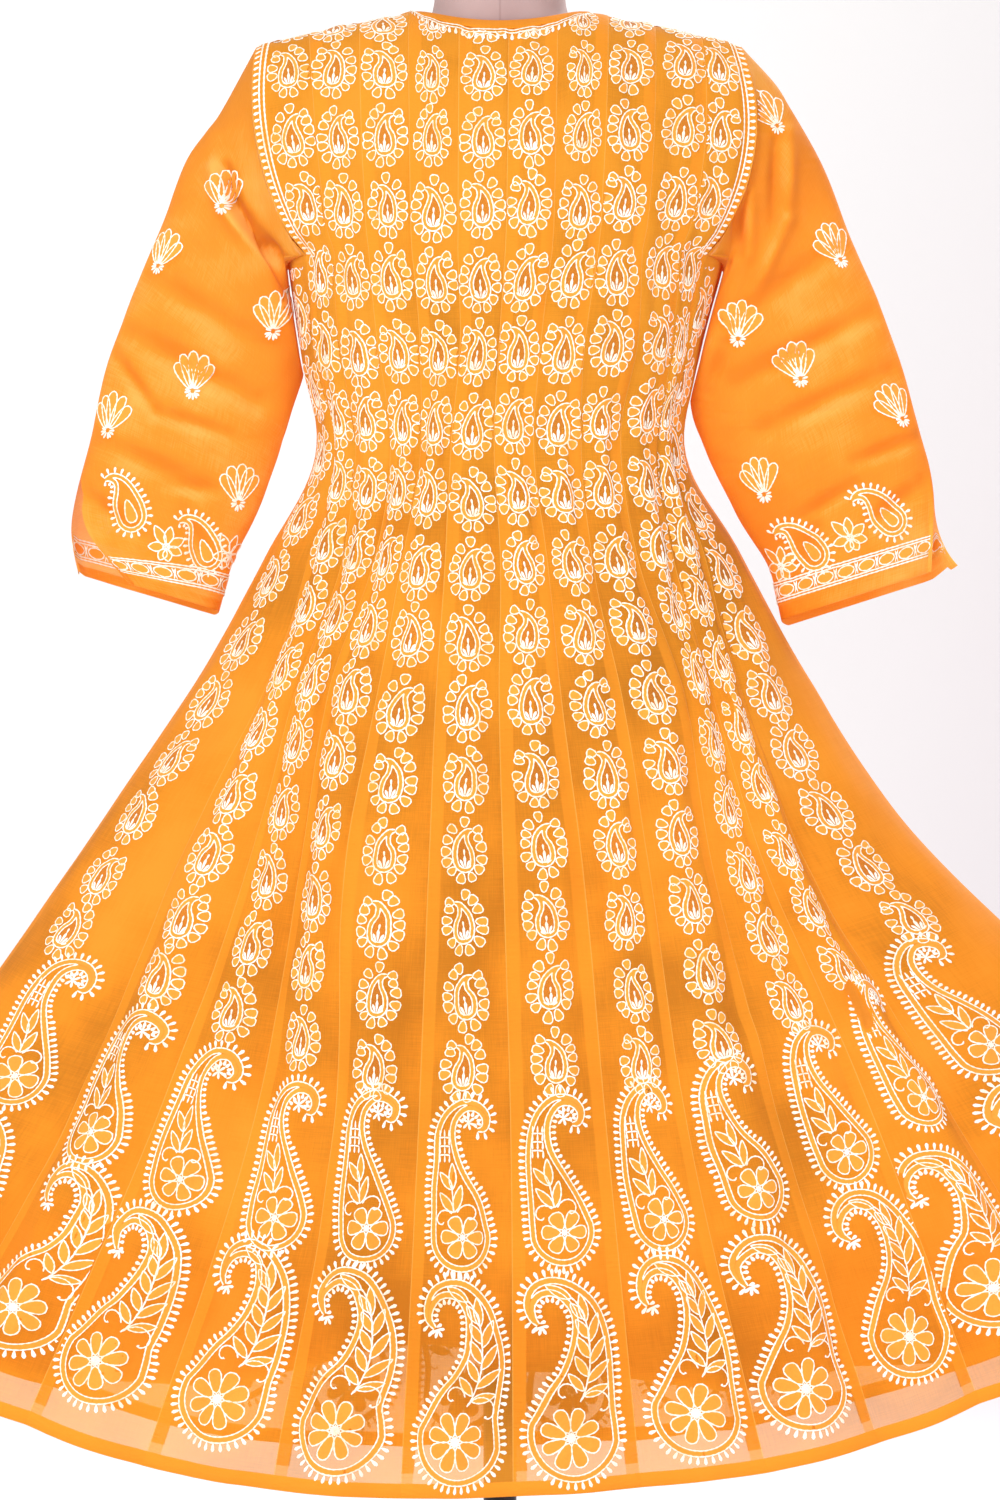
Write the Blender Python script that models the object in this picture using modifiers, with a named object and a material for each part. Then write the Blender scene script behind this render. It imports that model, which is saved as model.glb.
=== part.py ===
"""An orange anarkali gown of twenty-four gores, worn by a limbless dress form on a round-based pole.

Metres, +Z up, the floor at Z = 0 under the pole. The gown's back faces -Y and its wearer's left is -X.
"""

import math

import bmesh
import bpy
import numpy as np

COLLECTION = "anarkali_gown"

# Cloth
WALL = 0.0012
SEAM_GAP = 0.0003
LINING_WALL = 0.0010

# Heights and lengths
WAIST_HEIGHT = 1.116
CHEST_HEIGHT = 1.266
SKIRT_LENGTH = 0.838
LINING_ABOVE_HEM = 0.088
LINING_GORES = 2
LINING_TOP_DEPTH = 0.0020
LINING_DEPTH = 0.0055

# Where each gore seam runs: metres of cloth below the waist, then the distance of seams 0 to 6 from
# the centre plane. Seam 0 is the centre seam, seam 5 ends at the armhole and seam 6 is the side seam.
SEAMS_LEFT = (
    (-0.150, -0.004, 0.034, 0.071, 0.105, 0.133, 0.156, 0.173),
    (-0.075, 0.001, 0.032, 0.064, 0.098, 0.130, 0.150, 0.162),
    (0.000, 0.005, 0.039, 0.064, 0.088, 0.117, 0.134, 0.149),
    (0.100, 0.000, 0.044, 0.078, 0.102, 0.126, 0.153, 0.190),
    (0.210, 0.001, 0.051, 0.098, 0.138, 0.161, 0.187, 0.243),
    (0.335, -0.002, 0.056, 0.121, 0.158, 0.191, 0.244, 0.312),
    (0.545, -0.008, 0.064, 0.130, 0.195, 0.258, 0.325, 0.430),
    (SKIRT_LENGTH, -0.010, 0.078, 0.179, 0.286, 0.369, 0.460, 0.600),
)
SEAMS_RIGHT = (
    (-0.150, 0.004, 0.042, 0.079, 0.114, 0.144, 0.166, 0.183),
    (-0.075, -0.001, 0.033, 0.068, 0.111, 0.140, 0.151, 0.163),
    (0.000, -0.005, 0.027, 0.065, 0.097, 0.126, 0.138, 0.150),
    (0.100, 0.000, 0.038, 0.074, 0.111, 0.141, 0.165, 0.195),
    (0.210, -0.001, 0.049, 0.096, 0.147, 0.169, 0.191, 0.247),
    (0.335, 0.002, 0.065, 0.115, 0.166, 0.202, 0.231, 0.313),
    (0.545, 0.008, 0.084, 0.144, 0.217, 0.282, 0.328, 0.453),
    (SKIRT_LENGTH, 0.010, 0.112, 0.207, 0.300, 0.379, 0.468, 0.605),
)
# The same seams along the neckline and the shoulder seam; the sixth gore starts under the armhole.
SHOULDER_LEFT = (-0.007, 0.033, 0.074, 0.114, 0.155, 0.198)
SHOULDER_RIGHT = (0.007, 0.047, 0.088, 0.126, 0.164, 0.196)
# How far the same seams swing outwards between the chest and the shoulder.
SWING_LEFT = (0.000, 0.000, 0.000, 0.000, 0.000, 0.012)
SWING_RIGHT = (0.000, 0.000, 0.000, 0.002, 0.008, 0.020)
# The highest value of lift * (1 - lift), which shapes that swing.
SWING_PEAK = 0.25

# Metres of cloth below the waist, then the half depth of the gown's oval to the back and to the front.
DEPTHS = (
    (-0.150, 0.115, 0.122),
    (-0.075, 0.107, 0.112),
    (0.000, 0.100, 0.102),
    (0.100, 0.116, 0.116),
    (0.210, 0.130, 0.130),
    (0.335, 0.142, 0.142),
    (0.545, 0.158, 0.158),
    (SKIRT_LENGTH, 0.175, 0.175),
)

# Distance from the centre plane, then the height of the shoulder ridge there.
RIDGE = (
    (0.000, 1.4670),
    (0.050, 1.4670),
    (0.072, 1.4665),
    (0.130, 1.4550),
    (0.185, 1.4430),
    (0.200, 1.4370),
)
SHOULDER_ROUND = 2 / 2.4
SHOULDER_SPREAD = 0.6

# Neckline: half width, and the angle up the shoulder's curve where its back and front middles lie,
# along the gores' top edges and along the finished edge of the neck band.
NECK_WIDTH_GORES = 0.074
NECK_WIDTH_BAND = 0.065
NECK_BACK_GORES = math.radians(62.0)
NECK_BACK_BAND = math.radians(68.5)
NECK_FRONT_GORES = math.radians(36.5)
NECK_FRONT_BAND = math.radians(40.5)

# How much shorter each seam hangs than the centre one, as a share of its length: seams 0 to 6.
HEM_LIFT_LEFT = (0.000, -0.003, -0.006, -0.005, 0.008, 0.018, 0.020)
HEM_LIFT_RIGHT = (0.000, 0.003, 0.005, 0.015, 0.031, 0.039, 0.040)

# What a gore was cut to: metres below the waist, then its width.
CUT_WIDTHS = ((-0.150, 0.045), (0.000, 0.038), (SKIRT_LENGTH, 0.108))
# Cloth that the oval can't take up stands off it in a soft flute, no higher than this.
FLUTE_AT_WAIST = 0.004
FLUTE_AT_HEM = 0.010
# A flute takes this share of half the spare width, and fades in over this length above the waist.
FLUTE_SHARE = 0.5
FLUTE_FADE = 0.10

# The skirt's larger folds: side (-1 left), face (-1 back), seam number, height at the hem, half width
# in gores, and how far below the waist it starts.
FOLDS = (
    (-1, -1, 1.5, 0.008, 0.50, 0.16),
    (-1, -1, 2.9, -0.009, 0.45, 0.05),
    (-1, -1, 4.2, 0.012, 0.55, 0.10),
    (-1, -1, 5.3, -0.010, 0.45, 0.25),
    (1, -1, 0.8, -0.007, 0.50, 0.20),
    (1, -1, 2.2, 0.009, 0.55, 0.12),
    (1, -1, 3.4, -0.010, 0.45, 0.05),
    (1, -1, 4.6, 0.012, 0.50, 0.15),
    (-1, 1, 0.9, 0.010, 0.50, 0.10),
    (-1, 1, 2.4, -0.009, 0.50, 0.20),
    (-1, 1, 3.8, 0.011, 0.55, 0.08),
    (-1, 1, 5.1, -0.008, 0.45, 0.25),
    (1, 1, 1.3, -0.009, 0.50, 0.15),
    (1, 1, 2.7, 0.010, 0.50, 0.10),
    (1, 1, 4.1, -0.009, 0.55, 0.20),
    (1, 1, 5.2, 0.009, 0.45, 0.12),
)

# A fold grows with this power of the way down to the hem.
FOLD_GROWTH = 0.8

# Rows of points down a gore and across it
YOKE_ROWS = 7
BODICE_ROWS = (-0.150, -0.075, 0.0)
SKIRT_ROWS = (0.05, 0.10, 0.16, 0.24, 0.335, 0.45, 0.58, 0.71, SKIRT_LENGTH)
LINING_ROWS = SKIRT_ROWS[:-2] + (SKIRT_LENGTH - LINING_ABOVE_HEM,)
COLUMNS = 3
GORES = 6
ARMHOLE_SEAM = 5
# Steps in which a line down the cloth is measured
PATH_STEPS = 49

# Sleeves: X and Z of the outer edge, X and Z of the inner edge, half depth, all on the left; then the
# same on the right. The first ring is the armhole itself.
SLEEVE_LEFT = (
    (0.226, 1.388, 0.1735, 1.234, 0.040),
    (0.251, 1.352, 0.1680, 1.206, 0.038),
    (0.274, 1.298, 0.1655, 1.177, 0.036),
    (0.300, 1.234, 0.1725, 1.140, 0.035),
    (0.319, 1.179, 0.1810, 1.102, 0.034),
    (0.335, 1.116, 0.2010, 1.055, 0.033),
    (0.348, 1.050, 0.2185, 1.014, 0.031),
    (0.343, 1.015, 0.2285, 0.981, 0.029),
)
SLEEVE_RIGHT = (
    (0.223, 1.410, 0.1760, 1.230, 0.040),
    (0.248, 1.369, 0.1670, 1.194, 0.038),
    (0.274, 1.314, 0.1590, 1.158, 0.036),
    (0.298, 1.254, 0.1630, 1.121, 0.035),
    (0.319, 1.201, 0.1755, 1.092, 0.034),
    (0.336, 1.148, 0.1935, 1.058, 0.033),
    (0.350, 1.088, 0.2165, 1.0175, 0.031),
    (0.355, 1.014, 0.2295, 0.974, 0.029),
)
SLEEVE_SLIT_ROWS = 3
SLIT_HALF_GAP = 0.004

NECK_BAND_HEIGHT = 0.010

# Dress form below the chest: height, half width, half depth
FORM_ROWS = (
    (1.191, 0.150, 0.098),
    (1.116, 0.138, 0.090),
    (1.050, 0.147, 0.094),
    (0.970, 0.158, 0.100),
    (0.880, 0.160, 0.102),
    (0.810, 0.154, 0.098),
    (0.790, 0.145, 0.090),
)
FORM_INSET = 0.008
FORM_UNDER_SHOULDER = WALL + SEAM_GAP
FORM_UNDER_NECK = 0.0055
FORM_SCALE = 0.99
FORM_TAPER = 0.03
# Between these distances from the centre plane the form comes up from under the neck band to the gores.
FORM_NECK_REACH = (0.085, 0.112)
# The flat closed armhole: columns of points across each half, and the middle one's share of the depth.
PLATE_COLUMNS = 2
PLATE_DEPTH_SHARE = 0.55
NECK_HALF_WIDTH = 0.0564
NECK_HALF_DEPTH = 0.0545
NECK_CENTRE = 0.008
NECK_BASE = 1.472
NECK_TOP = 1.520
NECK_BEVEL = 0.005
NECK_FLARE = (0.33, 0.67, 1.0)

POLE_RADIUS = 0.0135
POLE_SIDES = 20
BASE_RADIUS = 0.19
BASE_HEIGHT = 0.018
BASE_EDGE = 0.006
BASE_SIDES = 36

# Above this height outward also means up, at this rate.
TOP_TURN_HEIGHT = 1.36
TOP_TURN_RATE = 4
# Small steps for normals, for points that are merged and for places on the shoulder ridge
NUDGE = 1e-3
MERGE = 1e-6
TINY = 1e-9
SHARP_ANGLE = math.radians(40)


def smooth_table(rows, at):
    """Each column of rows at the places given, on Catmull-Rom curves through the rows."""
    rows = np.array(rows)
    places = rows[:, 0]
    values = rows[:, 1:]
    slopes = np.gradient(values, places, axis=0)
    at = np.clip(np.asarray(at, float), places[0], places[-1])
    index = np.clip(np.searchsorted(places, at, side="right") - 1, 0, len(places) - 2)
    step = (places[index + 1] - places[index])[..., None]
    part = ((at - places[index])[..., None]) / step
    start, end = values[index], values[index + 1]
    rise, fall = slopes[index] * step, slopes[index + 1] * step
    return (
        start * (2 * part**3 - 3 * part**2 + 1)
        + rise * (part**3 - 2 * part**2 + part)
        + end * (3 * part**2 - 2 * part**3)
        + fall * (part**3 - part**2)
    )


def across(table, seam):
    """Values of table's last axis, one for each seam, at a seam number that need not be whole."""
    index = np.clip(np.floor(seam).astype(int), 0, table.shape[-1] - 2)
    part = seam - index
    low = np.take_along_axis(table, index[..., None], -1)[..., 0]
    high = np.take_along_axis(table, index[..., None] + 1, -1)[..., 0]
    return low + (high - low) * part


def around(side, seam, drop):
    """Half width of the gown, and the angle round its oval from the centre plane, at a seam and a drop."""
    seams = smooth_table(SEAMS_LEFT if side < 0 else SEAMS_RIGHT, drop)
    half_width = seams[..., -1]
    angles = np.arcsin(np.clip(seams / half_width[..., None], -1, 1))
    return half_width, across(angles, seam)


def flute(side, seam, drop, depth):
    """How far a gore's middle stands off the oval, from the width that it was cut to."""
    seams = smooth_table(SEAMS_LEFT if side < 0 else SEAMS_RIGHT, drop)
    index = np.clip(np.floor(seam).astype(int), 0, GORES - 1)
    low = np.take_along_axis(seams, index[..., None], -1)[..., 0]
    high = np.take_along_axis(seams, index[..., None] + 1, -1)[..., 0]
    half_width = seams[..., -1]
    rise = depth * (
        np.sqrt(np.clip(1 - (low / half_width) ** 2, 0, 1))
        - np.sqrt(np.clip(1 - (high / half_width) ** 2, 0, 1))
    )
    taken = np.hypot(high - low, rise)
    cut = np.interp(drop, *np.transpose(CUT_WIDTHS))
    spare = np.sqrt(np.clip(cut**2 - taken**2, 0, None)) / 2
    highest = np.interp(drop, (0, SKIRT_LENGTH), (FLUTE_AT_WAIST, FLUTE_AT_HEM))
    fade_in = np.clip(drop / FLUTE_FADE + 1, 0, 1)
    height = np.minimum(spare * FLUTE_SHARE, highest) * fade_in
    return height * np.sin(math.pi * (seam - index)) ** 2


def fold(side, face, seam, drop):
    """The larger folds' distance from the oval."""
    total = np.zeros_like(drop)
    for fold_side, fold_face, middle, height, half_width, top in FOLDS:
        if fold_face != face:
            continue
        distance = (seam * side - middle * fold_side) / half_width
        growth = np.clip((drop - top) / (SKIRT_LENGTH - top), 0, 1) ** FOLD_GROWTH
        total = total + height * growth * np.exp(-(distance**2))
    still = np.clip(GORES - seam, 0, 1)
    return total * still


def oval_point(side, face, seam, drop):
    """X and Y of the cloth's outer face at or below the chest."""
    half_width, angle = around(side, seam, drop)
    depths = smooth_table(DEPTHS, drop)
    depth = depths[..., 0] if face < 0 else depths[..., 1]
    off = flute(side, seam, drop, depth) + fold(side, face, seam, drop)
    x = side * (half_width * np.sin(angle) + off * np.sin(angle) * np.sign(seam))
    y = face * (depth + off) * np.cos(angle)
    return x, y


def body_point(side, face, seam, drop):
    """The cloth's outer face from the chest down: drop is cloth below the waist, or height above it."""
    seam, drop = np.broadcast_arrays(np.asarray(seam, float), np.asarray(drop, float))
    x, y = oval_point(side, face, seam, drop)
    steps = np.linspace(0, 1, PATH_STEPS).reshape((PATH_STEPS,) + (1,) * drop.ndim)
    lift = np.interp(seam, range(GORES + 1), HEM_LIFT_LEFT if side < 0 else HEM_LIFT_RIGHT)
    below = np.clip(drop, 0, None)
    below = below * (1 - lift * below / SKIRT_LENGTH) * steps
    path_x, path_y = oval_point(side, face, np.broadcast_to(seam, below.shape), below)
    run = np.hypot(np.diff(path_x, axis=0), np.diff(path_y, axis=0))
    fall = np.sqrt(np.clip(np.diff(below, axis=0) ** 2 - run**2, 0, None)).sum(axis=0)
    z = WAIST_HEIGHT - np.minimum(drop, 0) - fall
    return np.stack([x, y, z], axis=-1)


def yoke_point(side, face, seam, climb):
    """The cloth's outer face above the chest: climb is an angle, 0 at the chest, 90 degrees on the ridge."""
    seam, climb = np.broadcast_arrays(np.asarray(seam, float), np.asarray(climb, float))
    chest = np.full(seam.shape, BODICE_ROWS[0])
    half_width, angle = around(side, seam, chest)
    ends = np.array((SHOULDER_LEFT, SWING_LEFT) if side < 0 else (SHOULDER_RIGHT, SWING_RIGHT))
    top, swing = np.column_stack([ends, ends[:, -1]])
    lift = np.sin(climb) ** SHOULDER_ROUND
    lean = np.cos(climb) ** SHOULDER_ROUND
    spread = lift**SHOULDER_SPREAD
    x = half_width * np.sin(angle)
    x = x + (across(np.broadcast_to(top, seam.shape + top.shape), seam) - x) * spread
    bulge = lift * (1 - lift) / SWING_PEAK
    x = x + across(np.broadcast_to(swing, seam.shape + swing.shape), seam) * bulge
    depth = DEPTHS[0][1] if face < 0 else DEPTHS[0][2]
    y = face * depth * np.cos(angle) * lean
    z = CHEST_HEIGHT + (np.interp(np.abs(x), *np.transpose(RIDGE)) - CHEST_HEIGHT) * lift
    return np.stack([side * x, y, z], axis=-1)


def corner_seam(side, half_width):
    """The seam number where the neckline meets the shoulder seam."""
    top = SHOULDER_LEFT if side < 0 else SHOULDER_RIGHT
    return float(np.interp(half_width, top, range(len(top))))


def neck_climb(side, seam, half_width, lowest):
    """How far up the shoulder's curve the neckline lies: on the ridge beyond its corner."""
    top = SHOULDER_LEFT if side < 0 else SHOULDER_RIGHT
    x = np.interp(seam, range(len(top)), top)
    dip = np.sqrt(np.clip(1 - (x / half_width) ** 2, 0, 1))
    return math.pi / 2 - (math.pi / 2 - lowest) * dip


def normals_of(place, first, second, step_first, step_second, outward):
    """Unit normals of a surface function, from points a small step either way."""
    along = place(first + step_first, second) - place(first - step_first, second)
    down = place(first, second + step_second) - place(first, second - step_second)
    normal = np.cross(along, down)
    normal /= np.linalg.norm(normal, axis=-1, keepdims=True)
    facing = (normal * outward).sum(axis=-1, keepdims=True)
    return normal * np.where(facing < 0, -1, 1)


def outward_from(points):
    """A rough outward direction: away from the vertical axis, and up on top of the shoulders."""
    out = points.copy()
    out[..., 2] = np.clip(points[..., 2] - TOP_TURN_HEIGHT, 0, None) * TOP_TURN_RATE
    return out


def gore_columns(side, number):
    """Seam numbers of a gore's columns of points, one of them on the corner of the neckline."""
    columns = np.linspace(number - 1, number, COLUMNS + 1)
    corner = corner_seam(side, NECK_WIDTH_GORES)
    if number - 1 < corner < number:
        columns[1:-1] = (number - 1 + (corner - number + 1) / 2, corner)
    return columns


def all_columns(side, last):
    """Seam numbers of all the columns of points from the centre seam to the last gore's outer seam."""
    return np.unique(np.concatenate([gore_columns(side, number) for number in range(1, last + 1)]))


def gore_grid(side, face, number):
    """Outer points and outward normals of one gore, in rows from its top edge to its hem."""
    columns = gore_columns(side, number)
    body_rows = np.array(BODICE_ROWS + SKIRT_ROWS)
    seam, drop = np.meshgrid(columns, body_rows)

    def body(first, second):
        return body_point(side, face, first, second)

    points = body(seam, drop)
    normals = normals_of(body, seam, drop, NUDGE, NUDGE, outward_from(points))
    if number <= ARMHOLE_SEAM:
        lowest = NECK_BACK_GORES if face < 0 else NECK_FRONT_GORES
        top = neck_climb(side, columns, NECK_WIDTH_GORES, lowest)
        share = np.arange(YOKE_ROWS)[:, None] / YOKE_ROWS
        climb = top[None, :] * (1 - share)
        seam = np.broadcast_to(columns, climb.shape)

        def yoke(first, second):
            return yoke_point(side, face, first, np.clip(second, 0, math.pi / 2 - MERGE))

        upper = yoke(seam, climb)
        upper_normals = normals_of(yoke, seam, climb, NUDGE, NUDGE, outward_from(upper))
        on_ridge = climb > math.pi / 2 - NUDGE
        upper[on_ridge, 1] = face * SEAM_GAP / 2
        upper_normals[on_ridge] = (0, 0, 1)
        points = np.concatenate([upper, points])
        normals = np.concatenate([upper_normals, normals])
    return points, normals


def part_edges(grid):
    """Moves a grid's first and last columns in by half the seam gap."""
    for edge, inner in ((0, 1), (-1, -2)):
        way = grid[:, inner] - grid[:, edge]
        way /= np.linalg.norm(way, axis=-1, keepdims=True)
        grid[:, edge] += way * SEAM_GAP / 2


def grid_faces(rows, columns, closed=False):
    """Quads over a grid of points numbered row by row."""
    faces = []
    for row in range(rows - 1):
        for column in range(columns if closed else columns - 1):
            right = (column + 1) % columns
            here, below = row * columns, (row + 1) * columns
            faces.append((here + column, below + column, below + right, here + right))
    return faces


def make_object(name, points, faces, material):
    mesh = bpy.data.meshes.new(name)
    mesh.from_pydata([tuple(point) for point in points], [], faces)
    work = bmesh.new()
    work.from_mesh(mesh)
    bmesh.ops.remove_doubles(work, verts=work.verts, dist=MERGE)
    bmesh.ops.recalc_face_normals(work, faces=work.faces)
    work.to_mesh(mesh)
    work.free()
    mesh.shade_smooth()
    mesh.set_sharp_from_angle(angle=SHARP_ANGLE)
    mesh.materials.append(material)
    obj = bpy.data.objects.new(name, mesh)
    bpy.data.collections[COLLECTION].objects.link(obj)
    return obj


def make_wall(name, points, normals, faces, thickness, material):
    """A cloth wall: the outer face, the same face moved in along its normals, and the rim between them."""
    count = len(points)
    inner = points - normals * thickness
    uses = {}
    for face in faces:
        for start, end in zip(face, face[1:] + face[:1]):
            uses.setdefault(frozenset((start, end)), []).append((start, end))
    # Both skins are split along the same diagonals, so that they stay parallel.
    walls = []
    for face in faces:
        for corners in ((face[0], face[1], face[2]), (face[0], face[2], face[3])):
            walls.append(corners)
            walls.append(tuple(index + count for index in reversed(corners)))
    for directed in uses.values():
        if len(directed) == 1:
            start, end = directed[0]
            walls.append((end, start, start + count, end + count))
    return make_object(name, np.concatenate([points, inner]), walls, material)


def make_gores(cloth):
    for face, face_name in ((-1, "back"), (1, "front")):
        for side, side_name in ((-1, "l"), (1, "r")):
            for number in range(1, GORES + 1):
                points, normals = gore_grid(side, face, number)
                part_edges(points)
                rows, columns = points.shape[:2]
                name = f"gore_{face_name}_{side_name}{number}"
                faces = grid_faces(rows, columns)
                make_wall(name, points.reshape(-1, 3), normals.reshape(-1, 3), faces, WALL, cloth)


def make_lining(cloth):
    """Panels of a plain lining, each two gores wide, inside the skirt and a hand's breadth shorter."""
    drop_rows = np.array(LINING_ROWS)
    inset = np.interp(drop_rows, LINING_ROWS[:2], (LINING_TOP_DEPTH, LINING_DEPTH))[:, None, None]
    for face, face_name in ((-1, "back"), (1, "front")):
        for side, side_name in ((-1, "l"), (1, "r")):

            def body(first, second, side=side, face=face):
                return body_point(side, face, first, second)

            for panel in range(GORES // LINING_GORES):
                first_gore = panel * LINING_GORES
                columns = all_columns(side, GORES)
                inside = (columns > first_gore - TINY) & (columns < first_gore + LINING_GORES + TINY)
                seam, drop = np.meshgrid(columns[inside], drop_rows)
                points = body(seam, drop)
                normals = normals_of(body, seam, drop, NUDGE, NUDGE, outward_from(points))
                points -= normals * inset
                part_edges(points)
                rows, columns = points.shape[:2]
                name = f"lining_{face_name}_{side_name}{panel + 1}"
                faces = grid_faces(rows, columns)
                make_wall(name, points.reshape(-1, 3), normals.reshape(-1, 3), faces, LINING_WALL, cloth)


def neck_loop(width_share, depth_share):
    """Points round the neck band, in the order back left, back right, front right, front left."""
    half_width = NECK_WIDTH_GORES + (NECK_WIDTH_BAND - NECK_WIDTH_GORES) * width_share
    points = []
    for side, face, reverse in ((-1, -1, True), (1, -1, False), (1, 1, True), (-1, 1, False)):
        gores_low = NECK_BACK_GORES if face < 0 else NECK_FRONT_GORES
        band_low = NECK_BACK_BAND if face < 0 else NECK_FRONT_BAND
        lowest = gores_low + (band_low - gores_low) * depth_share
        corner = corner_seam(side, NECK_WIDTH_GORES)
        columns = all_columns(side, ARMHOLE_SEAM)
        columns = columns[columns < corner + TINY]
        top = np.array(SHOULDER_LEFT if side < 0 else SHOULDER_RIGHT)
        gore_x = np.interp(columns, range(len(top)), top)
        seam = np.interp(gore_x * half_width / NECK_WIDTH_GORES, top, range(len(top)))
        climb = neck_climb(side, seam, half_width, lowest)
        row = yoke_point(side, face, seam, np.clip(climb, 0, math.pi / 2 - TINY))
        row[-1, 1] = 0
        row = row[::-1] if reverse else row
        points.append(row[:-1])
    return np.concatenate(points)


def make_neck_band(cloth):
    """A narrow band that finishes the neckline, butted to the tops of the gores."""
    first = SEAM_GAP / NECK_BAND_HEIGHT
    rings = np.stack([neck_loop(share, share) for share in (first, 0.5, 1.0)])
    along = np.roll(rings, -1, axis=1) - np.roll(rings, 1, axis=1)
    down = np.gradient(rings, axis=0)
    normals = np.cross(along, down)
    normals /= np.linalg.norm(normals, axis=-1, keepdims=True)
    facing = (normals * outward_from(rings)).sum(axis=-1, keepdims=True)
    normals *= np.where(facing < 0, -1, 1)
    rows, columns = rings.shape[:2]
    faces = grid_faces(rows, columns, closed=True)
    make_wall("neck_band", rings.reshape(-1, 3), normals.reshape(-1, 3), faces, WALL, cloth)


def armhole_loop(side):
    """The armhole's edge: from the shoulder tip down the back, under the arm and up the front."""
    halves = []
    for face in (-1, 1):
        climb = math.pi / 2 * (1 - np.arange(YOKE_ROWS) / YOKE_ROWS)
        edge = yoke_point(side, face, ARMHOLE_SEAM, np.minimum(climb, math.pi / 2 - TINY))
        edge[0, 1] = 0
        under = body_point(side, face, gore_columns(side, GORES), BODICE_ROWS[0])
        halves.append(np.concatenate([edge, under]))
    back, front = halves
    return np.concatenate([back, front[-2:0:-1]])


def make_sleeve(side, side_name, cloth):
    """A three-quarter sleeve hanging from the armhole, its cuff slit on the outer side."""
    start = armhole_loop(side)
    start[:, 0] += side * (WALL + SEAM_GAP)
    count = len(start)
    turn = 2 * math.pi * np.arange(count) / count
    rings = [start]
    table = np.array(SLEEVE_LEFT if side < 0 else SLEEVE_RIGHT)
    table = np.column_stack([np.arange(len(table)), table])
    for row in smooth_table(table, np.arange(0, len(table) - 0.5, 0.5)):
        outer_x, outer_z, inner_x, inner_z, depth = row
        middle_x, middle_z = (outer_x + inner_x) / 2, (outer_z + inner_z) / 2
        x = side * (middle_x + (outer_x - inner_x) / 2 * np.cos(turn))
        z = middle_z + (outer_z - inner_z) / 2 * np.cos(turn)
        rings.append(np.column_stack([x, -depth * np.sin(turn), z]))
    rings = np.stack(rings)
    along = np.roll(rings, -1, axis=1) - np.roll(rings, 1, axis=1)
    down = np.gradient(rings, axis=0)
    normals = np.cross(along, down)
    normals /= np.linalg.norm(normals, axis=-1, keepdims=True)
    middles = rings.mean(axis=1, keepdims=True)
    facing = (normals * (rings - middles)).sum(axis=(0, 1, 2))
    normals *= -1 if facing < 0 else 1
    rows, columns = rings.shape[:2]
    faces = grid_faces(rows, columns, closed=True)
    points = rings.reshape(-1, 3)
    normals = normals.reshape(-1, 3)
    # The slit: the outermost column splits in two over the last rows, and its edges stand apart.
    slit_tops = rows - 1 - SLEEVE_SLIT_ROWS
    extra_points, extra_normals = [], []
    for row in range(slit_tops + 1, rows):
        old = row * columns
        new = len(points) + len(extra_points)
        spread = SLIT_HALF_GAP * (row - slit_tops) / SLEEVE_SLIT_ROWS
        extra_points.append(points[old] + (0, spread, 0))
        extra_normals.append(normals[old])
        points[old] -= (0, spread, 0)
        for index, face in enumerate(faces):
            last_column = row * columns + columns - 1
            if old in face and (last_column in face or last_column - columns in face):
                faces[index] = tuple(new if corner == old else corner for corner in face)
    points = np.concatenate([points, extra_points])
    normals = np.concatenate([normals, extra_normals])
    make_wall(f"sleeve_{side_name}", points, normals, faces, WALL, cloth)


def form_quarter(side, face):
    """One quarter of the dress form in rows from its bottom to the neckline or the shoulder ridge."""
    columns = all_columns(side, ARMHOLE_SEAM)
    chest = np.full(columns.shape, BODICE_ROWS[0])
    half_width, angle = around(side, columns, chest)
    # The form's own centre line is straight, whatever the gown's centre seam does.
    angle[0] = 0
    plate = np.linspace(angle[-1], math.pi / 2, PLATE_COLUMNS + 1)[1:]
    angles = np.concatenate([angle, plate])
    rows = []
    for height, width, depth in reversed(FORM_ROWS):
        x = side * width * np.sin(angles)
        rows.append(np.column_stack([x, face * depth * np.cos(angles), np.full(len(angles), height)]))
    lowest = NECK_BACK_BAND if face < 0 else NECK_FRONT_BAND
    top = neck_climb(side, columns, NECK_WIDTH_GORES, lowest)
    depth = (DEPTHS[0][1] if face < 0 else DEPTHS[0][2]) - FORM_INSET
    for row in range(YOKE_ROWS + 1):
        climb = np.minimum(top * row / YOKE_ROWS, math.pi / 2 - TINY)
        cloth = yoke_point(side, face, columns, climb)
        lift = np.sin(climb) ** SHOULDER_ROUND
        lean = np.cos(climb) ** SHOULDER_ROUND
        under = np.interp(np.abs(cloth[:, 0]), FORM_NECK_REACH, (FORM_UNDER_NECK, FORM_UNDER_SHOULDER))
        x = cloth[:, 0] * (FORM_SCALE - FORM_TAPER * lean)
        x[0] = 0
        y = face * depth * np.cos(angle) * lean
        z = cloth[:, 2] - under * lift
        edge = np.array([x[-1], y[-1], z[-1]])
        side_x = side * ((half_width[-1] - FORM_INSET) * lean[-1] + abs(edge[0]) * (1 - lean[-1]))
        half_way = (edge + (side_x, 0, z[-1])) / 2
        half_way[1] = edge[1] * PLATE_DEPTH_SHARE
        ring = np.column_stack([x, y, z])
        ring = np.concatenate([ring, [half_way, (side_x, 0, z[-1])]])
        if row == YOKE_ROWS:
            on_ridge = np.append(top > math.pi / 2 - NUDGE, (True, True))
            ring[on_ridge, 1] = 0
            ring[-2:] = ring[-3]
        rows.append(ring)
    return np.stack(rows)


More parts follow.
